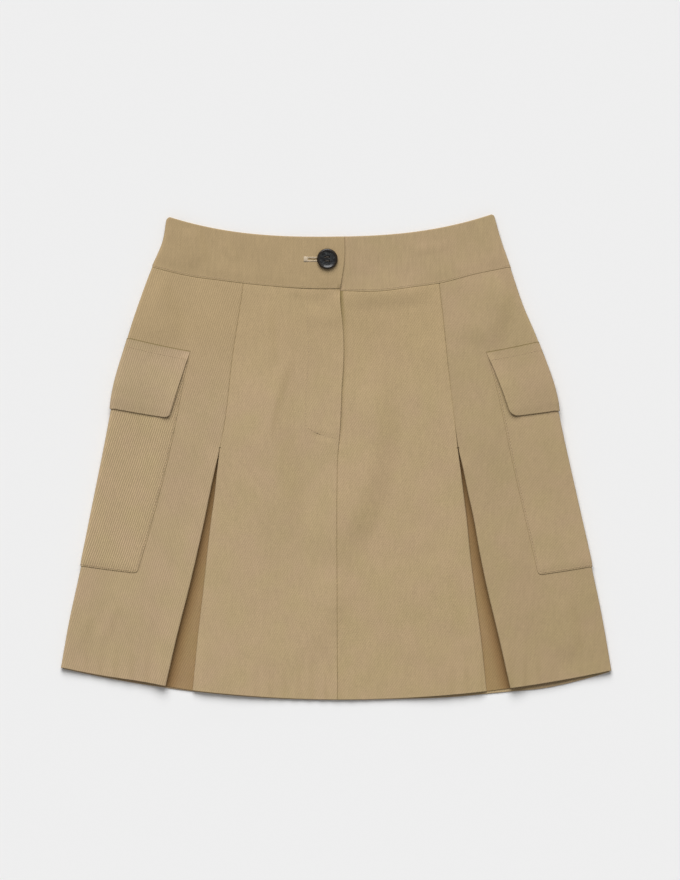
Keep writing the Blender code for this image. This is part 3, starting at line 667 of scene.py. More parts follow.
def front_y(x, drop):
    """Height on the page of the front, whose hem is drawn up in places."""
    return level_y(x, drop) + HEM_LINE["up"](x) * eased(HEM - HEM_UP_REACH, HEM, drop)


# A column of a wall. point(drop, offset) is a place on it, first is its first row, trim and shorten are how
# much it starts below and ends above the others, and the last field is how much of a folded edge it is,
# which makes it paler with wear and painted sheen.
Column = namedtuple("Column", "point first trim shorten worn", defaults=(0, 0.0, 0.0, 0.0))


def front_column(place, surface, **ends):
    """A column on the front. place(drop) is its x."""

    def point(drop, offset):
        x = place(drop)
        return x, front_y(x, drop), surface(x, drop) + offset

    return Column(point, **ends)


def back_column(place, hem=False, **ends):
    """A column on the back, under which the offset goes downwards."""

    def point(drop, offset):
        x = place(drop)
        below = HEM_LINE["below"](x) * eased(HEM - HEM_BELOW_REACH, HEM, drop) if hem else 0.0
        return x, level_y(x, drop) - below, back_surface(x, drop) - offset

    return Column(point, **ends)


def side_column(side, angle, **ends):
    """A column round the fold at a side. The angle is 90 degrees on the front and -90 on the back."""

    def point(drop, offset):
        x = fold_x(side, drop)
        top, bottom = front_surface(x, drop), back_surface(x, drop)
        out = SIDES[side] * (FOLD_RADIUS + offset) * cos(angle)
        up = ((top - bottom) / 2 + offset) * sin(angle)
        return x + out, level_y(x, drop), (top + bottom) / 2 + up

    return Column(point, worn=cos(angle) ** 2, **ends)


def folded_column(edge, way, surface, angle, distance, first):
    """A column round a pleat's folded edge, which faces way along X, or, at an angle of -90 degrees, of the
    cloth that goes back under the panel, at a distance from that edge."""

    def point(drop, offset):
        x = edge(drop) - way * (TURN_RADIUS + CLOTH + distance)
        reach = TURN_RADIUS + offset
        across = x + way * reach * cos(angle)
        return across, front_y(across, drop), surface(x, drop) - TURN_RADIUS + reach * sin(angle)

    return Column(point, first=first, worn=cos(angle) ** 2)


def pleat_columns(edge, way, surface, first):
    """The folded edge of a pleat and the cloth that goes back under the panel."""
    turns = [(pi / 2 - pi * k / PLEAT_TURNS, 0.0) for k in range(1, PLEAT_TURNS + 1)]
    under = [(-pi / 2, distance) for distance in graded(PLEAT_RETURN, 2 * CELL, first=False)[1:]]
    return [folded_column(edge, way, surface, *place, first) for place in turns + under]


def quarter(side, sign, corner=0.0, seam_above=False, seam_below=False):
    """Columns of a side fold from the side seam towards the front (1) or the back (-1), without its end. The
    corner rounds the top, and the waist seam can be the lower or the upper end."""
    columns = []
    for angle in SEAM_ANGLE + (pi / 2 - SEAM_ANGLE) * np.arange(QUARTER_TURNS) / QUARTER_TURNS:
        lower = seam_lower(side, fold_x(side, SEAM_DROP)) * sin(angle) if sign > 0 else 0.0
        trim = rounded(BAND_REACH * (1 - cos(angle)), corner) + lower * seam_above
        columns.append(side_column(side, sign * angle, trim=trim, shorten=-lower * seam_below))
    return columns


def seam_lower(side, x):
    """How much lower than its level the waist seam runs at x."""
    return float(SEAM_LINE[side](x))


def panel_column(side, place, surface):
    """A column of a front panel, which starts at the waist seam."""
    return front_column(place, surface, trim=seam_lower(side, place(SEAM_DROP)))


def graded(length, cell, first=True, last=True):
    """Places from 0 to a length, a cell apart and closer together at the ends that are asked for."""
    steps = [EDGE_STEP]
    while steps[-1] * EDGE_GROWTH < cell:
        steps.append(steps[-1] * EDGE_GROWTH)
    ramp = np.concatenate(([0.0], np.cumsum(steps)))
    head = ramp if first else ramp[:1]
    tail = length - (ramp if last else ramp[:1])[::-1]
    count = max(1, round((tail[0] - head[-1]) / cell))
    inner = head[-1] + (tail[0] - head[-1]) * np.arange(1, count) / count
    return np.concatenate((head, inner, tail))


def spread(start, end, cell, at=HEM / 2, **ends):
    """Lines down the cloth between two of them, both included, a cell apart at a drop."""
    width = abs(end(at) - start(at))
    shares = graded(width, cell, **ends) / width
    return [lambda drop, share=share: start(drop) + (end(drop) - start(drop)) * share for share in shares]


def layer_points(columns, rows, offset):
    """Points of one layer of a wall, by column and row."""
    top, bottom = rows[0], rows[-1]
    points = []
    for column in columns:
        above = np.clip(1 - (rows - top) / END_REACH, 0.0, 1.0)
        below = np.clip(1 - (bottom - rows) / END_REACH, 0.0, 1.0)
        drops = rows + column.trim * above - column.shorten * below
        distance = offset(drops) if callable(offset) else np.full(len(rows), offset)
        points.append(np.stack(np.broadcast_arrays(*column.point(drops, distance)), axis=1))
    return np.array(points)


def edge_distances(points, exists):
    """How far each point is from each free edge of its wall, along its row and its column."""
    distances = {}
    for axis, names in ((0, ("first", "last")), (1, ("top", "bottom"))):
        steps = np.linalg.norm(np.diff(points, axis=axis), axis=2)
        count = exists.shape[axis]
        whole = exists.take(range(1, count), axis) & exists.take(range(count - 1), axis)
        reach = np.insert(np.cumsum(steps * whole, axis=axis), 0, 0.0, axis=axis)
        distances[names[0]] = reach
        distances[names[1]] = reach.take([-1], axis=axis) - reach
    return distances


def edge_wear_and_painted_light(distances, rows, sewn, folded):
    """A wall's wear and painted light: 1 along its free and folded edges, paler there with wear and painted
    sheen, and less than 0 along its sewn ones, darker there with painted shade. Those are given by name with
    the drops between which they are sewn and how dark they are."""
    worn = folded
    shaded = 0.0
    for name, distance in distances.items():
        start, end, dark = sewn.get(name, UNSEWN)
        closed = (rows >= start) & (rows < end)
        worn = np.maximum(worn, near(WEAR_REACH, distance) * ~closed)
        shaded = np.maximum(shaded, dark * near(SEAM_SHADE_REACH, distance) * closed)
    return np.where(shaded > 0, -shaded, worn)


def layers_of(columns, rows, exists, inside, outside, rounding, press):
    """A wall's two layers, drawn together at its edges, its middle, its full outer face and how far its
    points are from each edge. The press holds it down along its edges."""
    inner = layer_points(columns, rows, inside)
    outer = layer_points(columns, rows, outside)
    middle = (inner + outer) / 2
    distances = edge_distances(middle, exists)
    distance = np.minimum.reduce(list(distances.values()))
    down = unit(outer - inner) * (press * near(3 * SEAM_REACH, distance))[..., None]
    closing = 1 - np.clip(distance / rounding, 0.0, 1.0)
    closing = EDGE_CLOSED + (1 - EDGE_CLOSED) * np.sqrt(1 - closing**2)
    half = (outer - middle) * closing[..., None]
    return (middle - half - down, middle + half - down), middle, outer, distances


def wall_faces(exists):
    """Faces of a closed wall from the points that exist: its two layers and a strip along each free edge."""
    index = np.cumsum(np.concatenate((exists.ravel(), exists.ravel()))).reshape((2, *exists.shape)) - 1
    cells = exists[:-1, :-1] & exists[1:, :-1]
    around = np.pad(cells, 1)
    i, j = np.nonzero(cells)
    corners = ((0, 0), (1, 0), (1, 1), (0, 1))
    under, over = ([index[k, i + di, j + dj] for di, dj in corners] for k in (0, 1))
    quads = [np.stack(over, 1), np.stack(under[::-1], 1)]
    for k, (di, dj) in enumerate(((0, -1), (1, 0), (0, 1), (-1, 0))):
        free = ~around[i + 1 + di, j + 1 + dj]
        n = (k + 1) % 4
        quads.append(np.stack((over[n][free], over[k][free], under[k][free], under[n][free]), 1))
    return np.concatenate(quads)


def hem_inside(drop):
    """Offset of a panel's inner face. The hem is turned up, so it is thicker."""
    return SLACK * (1 - HEM_CLOSER * eased(HEM - HEM_DEPTH, HEM - HEM_DEPTH + HEM_STEP, drop))


def wall(
    name, node, columns, rows, inside=hem_inside, outside=CLOTH, rounding=PANEL_ROUNDING,
    press=0.0, sewn=None, shade=None,
):
    """A closed wall of twill between two offsets, with rounded edges, that stands for a node and is cut as
    one piece. The shade is how much shade is painted on it at x and a drop."""
    first = np.array([column.first for column in columns])
    exists = np.arange(len(rows))[None, :] >= first[:, None]
    layers, middle, outer, distances = layers_of(columns, rows, exists, inside, outside, rounding, press)
    folded = np.array([column.worn for column in columns])[:, None]
    worn = edge_wear_and_painted_light(distances, rows, sewn or {}, folded)
    if shade:
        # Painted shade from the creases, beside the fly's edge or inside a pleat
        worn = worn - shade(middle[..., 0], rows[None, :])
    points = np.concatenate([layer[exists] for layer in layers])
    piece = add_mesh(f"twill_{name}", points, wall_faces(exists), twill(name))
    set_values(piece, "worn", np.tile(worn[exists], 2))
    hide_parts(node)


def add_mesh(name, points, faces, material):
    """A mesh from points in millimetres, with its faces pointing outwards, that rides with the skirt."""
    mesh = bpy.data.meshes.new(name)
    mesh.from_pydata((points * MM + SHIFT).tolist(), [], [list(face) for face in faces])
    mesh.update()
    if sum(face.center.dot(face.normal) * face.area for face in mesh.polygons) < 0:
        mesh.flip_normals()
    mesh.shade_smooth()
    mesh.materials.append(material)
    piece = bpy.data.objects.new(name, mesh)
    bpy.context.scene.collection.objects.link(piece)
    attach(piece, "root")
    return piece


def set_values(piece, name, values):
    """Gives a piece's points a value each, which its material reads by name."""
    tag = piece.data.attributes.new(name, "FLOAT", "POINT")
    tag.data.foreach_set("value", np.array(values, np.float32))


def rounded(distance, radius):
    """How much a rounded corner takes off an edge, at a distance from the edge's end."""
    if distance >= radius:
        return 0.0
    return radius - (radius**2 - (radius - distance) ** 2) ** 0.5


def panel_rows(cell):
    """Rows of a front panel, with one at the top of the pleat."""
    start = SEAM_DROP + 2 * SEAM_SLIT
    above = start + graded(PLEAT_TOP - start, cell)
    below = PLEAT_TOP + graded(HEM - PLEAT_TOP, cell, first=False)[1:]
    return np.concatenate((above, below)), len(above) - 1


def seam_line(edge, sign):
    """The free side of a panel at its seam and, lower down, where its pleat's folded edge begins to turn."""

    def place(drop):
        turned = drop >= PLEAT_TOP - EDGE_STEP / 2
        return edge(drop) + sign * np.where(turned, TURN_RADIUS + CLOTH, SEAM_SLIT / 2)

    return place


def front_side(side):
    """A side front panel, from the side seam to the panel seam and back under itself at the pleat."""
    edge = LINE[f"side_{side}"]
    surface = partial(side_surface, side)
    rows, top_row = panel_rows(CELL)
    places = spread(partial(fold_x, side), seam_line(edge, SIDES[side]), CELL, first=False)
    columns = quarter(side, 1, seam_above=True) + [panel_column(side, place, surface) for place in places]
    columns += pleat_columns(edge, -SIDES[side], surface, top_row)
    sewn = {"first": SEWN, "last": PLEAT_SEWN, "top": SEWN_FLAT}
    wall(f"front_side_{side}", f"front_side_{side}", columns, rows, sewn=sewn, shade=fold_shade)


def front_centre(side):
    """A centre front panel, from the pleat's returned edge to the fly."""
    edge = LINE[f"centre_{side}"]
    surface = partial(centre_surface, side)
    rows, top_row = panel_rows(CELL)

    def fly(drop):
        return MIDDLE(drop) + (SEAM_SLIT - lap_at(drop) if side == "left" else 0.0)

    # Painted shadow on the left front beside the fly's edge, darkest at its top
    def shade(x, drop):
        if side == "right":
            return fold_shade(x, drop)
        beside = near(FLY_SHADE[2], np.abs(x - MIDDLE(drop)))
        high = FLY_SHADE[0] + FLY_SHADE[1] * (1 - eased(SEAM_DROP, SEAM_DROP + FLY_SHADE_TOP, drop))
        return fold_shade(x, drop) + high * beside * above_fly_end(drop)

    places = spread(seam_line(edge, -SIDES[side]), fly, CELL)
    columns = pleat_columns(edge, SIDES[side], surface, top_row)[::-1]
    columns += [panel_column(side, place, surface) for place in places]
    sewn = {"first": PLEAT_SEWN, "last": CENTRE_SEWN, "top": SEWN_FLAT}
    wall(f"front_centre_{side}", f"front_centre_{side}", columns, rows, sewn=sewn, shade=shade)


def underlay(side):
    """The cloth inside a pleat, under both folded edges."""
    sign = SIDES[side]

    def outer(drop):
        return LINE[f"side_{side}"](drop) + sign * UNDERLAY_REACH

    def inner(drop):
        return LINE[f"centre_{side}"](drop) - sign * UNDERLAY_REACH

    def surface(x, drop):
        return back_surface(x, drop) + LOOSE - UNDERLAY_SINK

    # Painted shade inside the pleat, darkest beside the side panel's folded edge
    def shade(x, drop):
        return PLEAT_SHADE[0] * near(PLEAT_SHADE[1], -sign * (x - LINE[f"side_{side}"](drop)))

    columns = [front_column(place, surface) for place in spread(outer, inner, CELL)]
    rows = UNDERLAY_TOP + graded(HEM - UNDERLAY_TOP, CELL)
    wall(f"underlay_{side}", f"pleat_underlay_{side}", columns, rows, shade=shade)


def back_panel():
    """The back, from side seam to side seam."""
    start = SEAM_DROP + 2 * SEAM_SLIT
    places = spread(partial(fold_x, "right"), partial(fold_x, "left"), BACK_CELL, first=False, last=False)
    columns = [*quarter("right", -1), *(back_column(place, hem=True) for place in places)]
    columns += quarter("left", -1)[::-1]
    rows = start + graded(HEM - start, BACK_CELL)
    sewn = dict.fromkeys(("first", "last", "top"), SEWN)
    wall("back", "back_panel", columns, rows, sewn=sewn)


def wrapped(side, width, corner, rise, surface=front_surface):
    """Columns from the front edge of a pocket or flap, round the side, to its back edge."""
    turns = 2 * QUARTER_TURNS

    def flat(face, distance, reach):
        share = distance / reach
        ends = {"shorten": rounded(reach - distance, corner) + rise * share}

        def place(drop):
            return fold_x(side, drop) - SIDES[side] * share * width(face, drop)

        return front_column(place, surface, **ends) if face == "front" else back_column(place, **ends)

    halves = []
    for face in ("front", "back"):
        reach = width(face, POCKET_BOTTOM)
        halves.append([flat(face, distance, reach) for distance in graded(reach, CELL, first=False)])
    angles = [pi / 2 - pi * k / turns for k in range(1, turns)]
    return halves[0][::-1] + [side_column(side, angle) for angle in angles] + halves[1]


def pocket_columns(side):
    return wrapped(side, partial(pocket_width, side), POCKET_CORNER, POCKET_WIDTHS[side].rise)


def pocket(side):
    """A patch pocket, sewn down along its edges."""
    rows = POCKET_TOP + graded(POCKET_BOTTOM - POCKET_TOP, CELL)
    wall(
        f"pocket_{side}", f"pocket_{side}", pocket_columns(side), rows, CLOTH + GAP + SLACK, 2 * CLOTH + GAP,
        press=POCKET_PRESS, sewn={"first": (0.0, HEM, POCKET_DARK[side]), "last": SEWN, "bottom": SEWN_FLAT},
    )


def flap_rise(drop):
    """0 at a flap's sewn top and 1 where it lies on the pocket, whose top hardly shows through it."""
    return eased(FLAP_TOP, FLAP_TOP + FLAP_SLOPE, drop)


def flap_inside(drop):
    """Offset of a flap's inner face, which rises from the panel onto the pocket."""
    return CLOTH + FLAP_SEWN + (CLOTH + 2 * GAP) * flap_rise(drop)


def flap_outside(drop):
    """Offset of a flap's face."""
    low = FLAP_THINNED * eased(FLAP_BOTTOM - FLAP_CURL_REACH, FLAP_BOTTOM, drop)
    return CLOTH + FLAP_PRESSED + (CLOTH + 2 * GAP + FLAP - FLAP_PRESSED) * flap_rise(drop) - low


def flap_columns(side):
    widths = POCKET_WIDTHS[side]

    def width(face, drop):
        share = (drop - FLAP_TOP) / (FLAP_BOTTOM - FLAP_TOP)
        return pocket_width(side, face, drop) - widths.taper * np.minimum(1.0, share)

    def surface(x, drop):
        frees = (width("front", drop) - inwards(side, x, drop), FLAP_BOTTOM - drop)
        curls = [size * near(FLAP_CURL_REACH, free) for size, free in zip(FLAP_CURL, frees)]
        return front_surface(x, drop) + np.maximum(*curls) * eased(FLAP_TOP, FLAP_TOP + FLAP_FREE, drop)

    return wrapped(side, width, widths.flap_corner, widths.flap_rise, surface)


def flap(side):
    """A pocket flap: its top strip is sewn to the panel, and the rest lies on the pocket."""
    rows = FLAP_TOP + graded(FLAP_BOTTOM - FLAP_TOP, CELL)
    wall(
        f"flap_{side}", f"flap_{side}", flap_columns(side), rows, flap_inside, flap_outside, FLAP_ROUNDING,
        sewn={"top": FLAP_SEWN_ON},
    )


def band_columns(side):
    """Columns of half of the front waistband, from the side seam to its end."""
    corner = BAND_CORNERS[side]
    surface = partial(band_surface, side)

    def end(drop):
        return MIDDLE(drop) - (LAP if side == "left" else 0.0)

    columns = quarter(side, 1, corner, seam_below=True)
    for place in spread(partial(fold_x, side), end, BAND_CELL, at=SEAM_DROP / 2, first=False):
        trim = rounded(inwards(side, place(0.0), 0.0) + BAND_REACH, corner)
        columns.append(front_column(place, surface, trim=trim, shorten=-seam_lower(side, place(SEAM_DROP))))
    return columns


def band_outside(drop):
    """Offset of the waistband's face, which comes down to its seam."""
    return BAND - BAND_PRESSED * eased(SEAM_DROP - BAND_PRESS_REACH, SEAM_DROP, drop)


def waistband_front(side):
    """Half of the front waistband. The right one laps over the left one."""
    rows = graded(SEAM_DROP, 1.6 * BAND_CELL)
    wall(
        f"band_{side}", f"waistband_front_{side}", band_columns(side), rows, SLACK, band_outside,
        BAND_ROUNDING, sewn={"first": SEWN, "bottom": SEWN}, shade=fold_shade,
    )


def back_band_columns():
    right, left = partial(fold_x, "right"), partial(fold_x, "left")
    columns = quarter("right", -1, BAND_CORNERS["right"])
    for place in spread(right, left, 2 * BAND_CELL, at=SEAM_DROP / 2, first=False, last=False):
        reaches = {side: inwards(side, place(0.0), 0.0) + BAND_REACH for side in SIDES}
        trims = [rounded(reaches[side], corner) for side, corner in BAND_CORNERS.items()]
        columns.append(back_column(place, trim=max(trims)))
    return columns + quarter("left", -1, BAND_CORNERS["left"])[::-1]


def waistband_back():
    """The back waistband, from side to side."""
    rows = graded(SEAM_DROP, 2 * BAND_CELL)
    wall(
        "band_back", "waistband_back", back_band_columns(), rows, SLACK, BAND, BACK_BAND_ROUNDING,
        sewn=dict.fromkeys(("first", "last", "bottom"), SEWN),
    )


def drop_at(x, y):
    """The drop at a place on the page, by halving."""
    low, high = 0.0, HEM
    while high - low > 0.01:
        middle = (low + high) / 2
        low, high = (middle, high) if level_y(x, middle) > y else (low, middle)
    return low


def band_top(x, y):
    """Height of the right front waistband's face at a place on the page."""
    drop = drop_at(x, y)
    return float(band_surface("right", x, drop)) + BAND


def solids_shift():
    """How far the solids were moved to stand centred on the origin, read from where the button lies."""
    low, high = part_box("button")
    x, y = BUTTON_PLACE
    drop = drop_at(x, y)
    gap = REST_GAP + (EDGE_GAP - REST_GAP) * near(EDGE_RAMP, from_folds(x, drop))
    floor = carried(x, drop, FRONT_RAMP, FRONT_RAMP) + gap + 2 * BAND + 3 * GAP
    middle = (low + high) / 2
    return np.array((middle.x - x * MM, middle.y - y * MM, low.z - floor * MM))


# Sewing: a trail is a line of places on the cloth, each with the way out of it.
def trail(places):
    """Points and outward ways at places, each given as a column, a drop and an offset."""
    points, raised = (
        np.array([[float(v) for v in column.point(drop, offset + up)] for column, drop, offset in places])
        for up in (0.0, 1.0)
    )
    return points, unit(raised - points)


def along_trail(points, values, stations):
    """Values read off along a trail at distances from its start."""
    steps = np.linalg.norm(np.diff(points, axis=0), axis=1)
    reach = np.concatenate(([0.0], np.cumsum(steps)))
    return np.stack([np.interp(stations, reach, values[:, k]) for k in range(3)], axis=-1)


def straight(ends, shares):
    """Points at shares of the way between two ends, for each pair of them."""
    return ends[:, :1] + (ends[:, 1:] - ends[:, :1]) * shares[None, :, None]


def rings(places, radius, across, up):
    """Points round places, in rings spanned by two ways."""
    turns = 2 * pi * np.arange(STITCH_SIDES) / STITCH_SIDES
    out = np.cos(turns)[:, None] * across[..., None, :] + np.sin(turns)[:, None] * up[..., None, :]
    return places[..., None, :] + radius * out


def tube_faces(index):
    """Faces of closed tubes, from the numbers of their points by tube, by ring and round the ring."""
    a, b = index[:, :-1], index[:, 1:]
    quads = np.stack((a, np.roll(a, -1, 2), np.roll(b, -1, 2), b), -1).reshape(-1, 4)
    return [list(face) for face in (*quads, *index[:, 0, ::-1], *index[:, -1])]


def thread_tubes(lines, ways, radius, height=THREAD_FLAT):
    """Points and faces of short tubes with closed ends, one for each line of points, of a height for their
    width."""
    across = unit(np.cross(unit(np.gradient(lines, axis=1)), ways))
    ends = np.clip(np.sin(np.linspace(*THREAD_ENDS, lines.shape[1]) * pi), 0.0, 1.0) ** 0.5
    points = rings(lines, radius * ends[None, :, None, None], across, height * ways)
    index = np.arange(points.size // 3).reshape(points.shape[:3])
    return points.reshape(-1, 3), tube_faces(index)


def needle_marks(places, ways, radius):
    """Low closed domes where the needle went in, coloured with the painted shade of the small pits there."""
    side = unit(np.cross(ways, (0.0, 1.0, 0.3)))
    ring = rings(places, radius, side, np.cross(ways, side))
    tips = np.stack((places + MARK_DEPTH * ways, places - MARK_DEPTH * ways), axis=1)
    points = np.concatenate((ring, tips), axis=1)
    faces = []
    for base in range(0, points.size // 3, STITCH_SIDES + 2):
        for n in range(STITCH_SIDES):
            a, b = base + n, base + (n + 1) % STITCH_SIDES
            faces += [(a, b, base + STITCH_SIDES), (b, a, base + STITCH_SIDES + 1)]
    return points.reshape(-1, 3), faces


def stitch_run(places, sunk, mark, sewing, jitter):
    """Stitches along a trail, sunk into the cloth by a share of their thickness, and the needle marks of a
    size at their ends."""
    points, outs = trail(places)
    total = np.linalg.norm(np.diff(points, axis=0), axis=1).sum()
    length, gap, width = (v / MM for v in (sewing.stitch_length, sewing.stitch_gap, sewing.thread_width))
    radius = width / 2
    starts = np.arange(0.0, total - length, length + gap) + jitter.uniform(-STITCH_SHIFT, STITCH_SHIFT)
    share = np.linspace(0.0, 1.0, STITCH_STATIONS)
    stations = starts[:, None] + length * share
    lines = along_trail(points, points, stations)
    ways = unit(along_trail(points, outs, stations))
    sideways = unit(np.cross(np.gradient(lines, axis=1), ways))
    arched = radius * (STITCH_ARCH * np.sin(pi * share) - STITCH_DEEP - 2 * sunk)
    swung = jitter.normal(0.0, STITCH_TURN, (len(starts), 1)) * (share - 0.5)
    lines = lines + ways * arched[None, :, None] + sideways * swung[..., None]
    pits = (along_trail(points, values, starts - gap / 2) for values in (points, outs))
    return thread_tubes(lines, ways, radius), needle_marks(*pits, mark)


def join_shapes(shapes):
    """One set of points and faces from several."""
    points, faces, count = [], [], 0
    for some_points, some_faces in shapes:
        points.append(some_points)
        faces += [[count + k for k in face] for face in some_faces]
        count += len(some_points)
    return np.concatenate(points), faces


def pocket_trail(side):
    """Places of a pocket's topstitch: down its front edge, round its bottom and up its back edge."""
    sign = SIDES[side]
    columns = pocket_columns(side)
    offset = 2 * CLOTH + GAP - POCKET_STITCH_DEEP

    def beside(face):
        def place(drop):
            return fold_x(side, drop) - sign * (pocket_width(side, face, drop) - POCKET_STITCH)

        return front_column(place, front_surface) if face == "front" else back_column(place)

    rise = POCKET_WIDTHS[side].rise
    reach = POCKET_BOTTOM - rise - POCKET_CORNER
    down = np.arange(POCKET_TOP + POCKET_STITCH_START, reach, POCKET_STITCH_STEP)
    places = [(beside("front"), drop, offset) for drop in down]
    inner = [column for column in columns if column.shorten < rise + CORNER_CLEAR]
    places += [(column, POCKET_BOTTOM - column.shorten - POCKET_STITCH, offset) for column in inner]
    return places + [(beside("back"), drop, offset) for drop in down[::-1]]


def fly_trail():
    """Places of the curved stitch line beside the fly."""
    line = columns_of(FLY_STITCHES)
    surface = partial(centre_surface, "right")
    places = []
    for station in np.linspace(0.0, len(FLY_STITCHES) - 1, FLY_STATIONS):
        drop = float(line["drop"](station))
        x = float(MIDDLE(drop) + line["from_middle"](station))
        places.append((front_column(lambda drop, x=x: x, surface), drop, CLOTH))
    return places


def topstitch_trails():
    """Every visible line of topstitching, with how far it is sunk and the size of its needle marks."""
    band = SEAM_DROP - SEAM_STITCH
    face = float(band_outside(band))
    trails = []
    for side in SIDES:
        places = [(column, band - column.shorten, face) for column in band_columns(side)]
        trails.append((places, BAND_SUNK, BAND_MARK))
    trails.append(([(column, band, BAND) for column in back_band_columns()], BAND_SUNK, BAND_MARK))
    for side in SIDES:
        drop = FLAP_TOP + FLAP_STITCH
        offset = float(flap_outside(drop))
        columns = flap_columns(side)[FLAP_STITCH_ENDS:-FLAP_STITCH_ENDS]
        places = [(column, drop, offset) for column in columns]
        trails += [(places, BAND_SUNK, NEEDLE_MARK), (pocket_trail(side), POCKET_SUNK, NEEDLE_MARK)]
    fly = fly_trail()
    turn = next(k for k, place in enumerate(fly) if place[1] > FLY_TURN)
    return [*trails, (fly[:turn], FLY_SUNK, NEEDLE_MARK), (fly[turn:], 0.0, NEEDLE_MARK)]


# Materials: how each piece of cloth is cut and shows. The grain is turned from straight down, the tone is
# its lightness, blue how much blue it has, golden how far it turns to GOLDEN towards the waist, and the
# ribs, the fuzz and the slubs are how clearly its weave and its thicker yarns show.
LAYS = named_rows(
    "piece grain tone blue golden ribs fuzz slubs",
    ("back", 0.0, 0.98, 1.0, 0.5, 0.8, 1.0, 0.02),
    ("band_back", 0.0, 0.94, 1.0, 0.5, 0.2, 0.9, 0.04),
    ("band_right", 0.0, 0.925, 1.0, 0.8, 0.2, 0.9, 0.04),
    ("band_left", 0.0, 0.92, 1.0, 0.15, 0.2, 0.8, 0.04),
    ("front_centre_right", 2.0, 0.985, 1.0, 0.65, 0.42, 1.15, 0.028),
    ("front_centre_left", -2.0, 0.975, 0.985, 0.6, 0.42, 1.2, 0.028),
    ("front_side_right", 11.0, 0.97, 1.02, 1.0, 0.75, 0.95, 0.02),
    ("front_side_left", -11.0, 0.9, 0.99, 0.0, 0.28, 1.1, 0.028),
    ("underlay_right", 2.0, 0.965, 1.0, 0.0, 0.6, 1.0, 0.02),
    ("underlay_left", -2.0, 0.975, 1.0, 0.0, 0.5, 1.0, 0.02),
    ("pocket_right", 11.0, 1.015, 1.0, 0.0, 1.5, 1.2, 0.02),
    ("pocket_left", -11.0, 0.918, 0.99, 0.0, 0.32, 1.0, 0.025),
    ("flap_right", 11.0, 0.945, 1.05, 0.0, 0.95, 0.9, 0.02),
    ("flap_left", -11.0, 0.872, 1.0, 0.0, 0.35, 1.0, 0.025),
)
UNDERLAYS = [f"underlay_{side}" for side in SIDES]
TWILL_ANGLE = radians(30)  # from across the warp to across the twill's ribs
PICK_PITCH = 1.05  # from one yarn to the next along a rib
RIB_WOBBLE = 2.6
RIB_RANGE = (0.1, 0.9)
PICK_LOW = 0.45  # how high a rib still is between two yarns
PICK_WOBBLE = 1.5
# The sizes of the cloth's fuzz, of its thicker yarns, which are drawn out lengthways, of its light and dark
# patches and of the slow drift of its tint
FUZZ_SIZE = 1.1
SLUB_SIZE = 1.9
SLUB_STRETCH = (1.0, 0.12, 1.0)
PATCH_SIZES = (6.0, 21.0)
PATCHY = 0.015
DRIFT_SIZE = 34.0
DRIFT_RANGE = (0.35, 0.65)
NOISE_RANGE = (0.3, 0.7)  # the values between which most of a noise lies
CLOTH_ROUGH = (0.84, 0.96)
FUZZ_HEIGHT = 0.7  # for the weave's
SHEEN_TINT = (1.0, 0.82, 0.58)
# The weave, whose middle level is WEAVE_MIDDLE, shows less where the cloth turns down: how far upwards its
# face looks there and where it lies flat, and the share that still shows
WEAVE_MIDDLE = 0.36
STEEP = (0.6, 0.95)
STEEP_WEAVE = 0.15
WAVE_TURN = 2 * pi / 20  # what a wave texture's scale has to be for waves a metre long
# The two tints between which the cloth drifts, and those of its painted shade, which it has in full where
# that darkens it by FULL_SHADE, on the outside and inside the pleats
OLIVE = (0.98, 1.003, 0.955)
ROSY = (1.01, 0.998, 1.02)
SHADY = (1.0, 1.01, 0.72)
SHADY_INSIDE = (1.15, 0.99, 0.8)
FULL_SHADE = 10.0
GOLDEN = (0.965, 0.96, 0.89)  # the tint towards the waist
GOLDEN_RAMP = (50.0, 130.0)  # the heights over which it comes


def new_material(name):
    """A material, the tree of its nodes and its shader."""
    material = bpy.data.materials.new(name)
    material.use_nodes = True
    tree = material.node_tree
    return material, tree, tree.nodes["Principled BSDF"]


def fill(tree, node, inputs):
    """Gives a node's inputs, by name or number, each a value or another node's socket."""
    for name, value in inputs.items():
        socket = node.inputs[name]
        if isinstance(value, bpy.types.NodeSocket):
            tree.links.new(value, socket)
        elif socket.type == "RGBA":
            socket.default_value = (*value, 1.0)
        else:
            socket.default_value = value


def add_node(tree, kind, inputs, **settings):
    """A node with its settings and inputs."""
    node = tree.nodes.new(kind)
    for name, value in settings.items():
        setattr(node, name, value)
    fill(tree, node, inputs)
    return node


def object_place(tree):
    """The place on the skirt that a pattern follows."""
    return add_node(tree, "ShaderNodeTexCoord", {}).outputs["Object"]


def part_of(tree, vector, name):
    """One of a vector's parts: X, Y or Z."""
    return add_node(tree, "ShaderNodeSeparateXYZ", {"Vector": vector}).outputs[name]


def values_of(tree, name):
    """The values that a piece's points were given by name."""
    return add_node(tree, "ShaderNodeAttribute", {}, attribute_name=name).outputs["Fac"]


def turned(tree, vector, angle, scale=(1.0, 1.0, 1.0)):
    """Coordinates turned about Z and stretched."""
    settings = {"Vector": vector, "Rotation": (0.0, 0.0, angle), "Scale": scale}
    return add_node(tree, "ShaderNodeMapping", settings).outputs["Vector"]


def waves(tree, vector, pitch, wobble):
    """Waves along X with a pitch in metres, from 0 to 1."""
    inputs = {
        "Vector": vector,
        "Scale": WAVE_TURN / pitch,
        "Distortion": wobble,
        "Detail": 1.5,
        "Detail Scale": 0.35,
        "Detail Roughness": 0.5,
    }
    return add_node(tree, "ShaderNodeTexWave", inputs).outputs["Fac"]


def specks(tree, vector, size, detail=2.0):
    """Noise with bumps of a size in metres, from 0 to 1."""
    inputs = {"Vector": vector, "Scale": 1 / size, "Detail": detail}
    return add_node(tree, "ShaderNodeTexNoise", inputs).outputs["Fac"]


def math(tree, operation, a, b=0.0, c=0.0):
    """One step of arithmetic."""
    return add_node(tree, "ShaderNodeMath", {0: a, 1: b, 2: c}, operation=operation).outputs[0]


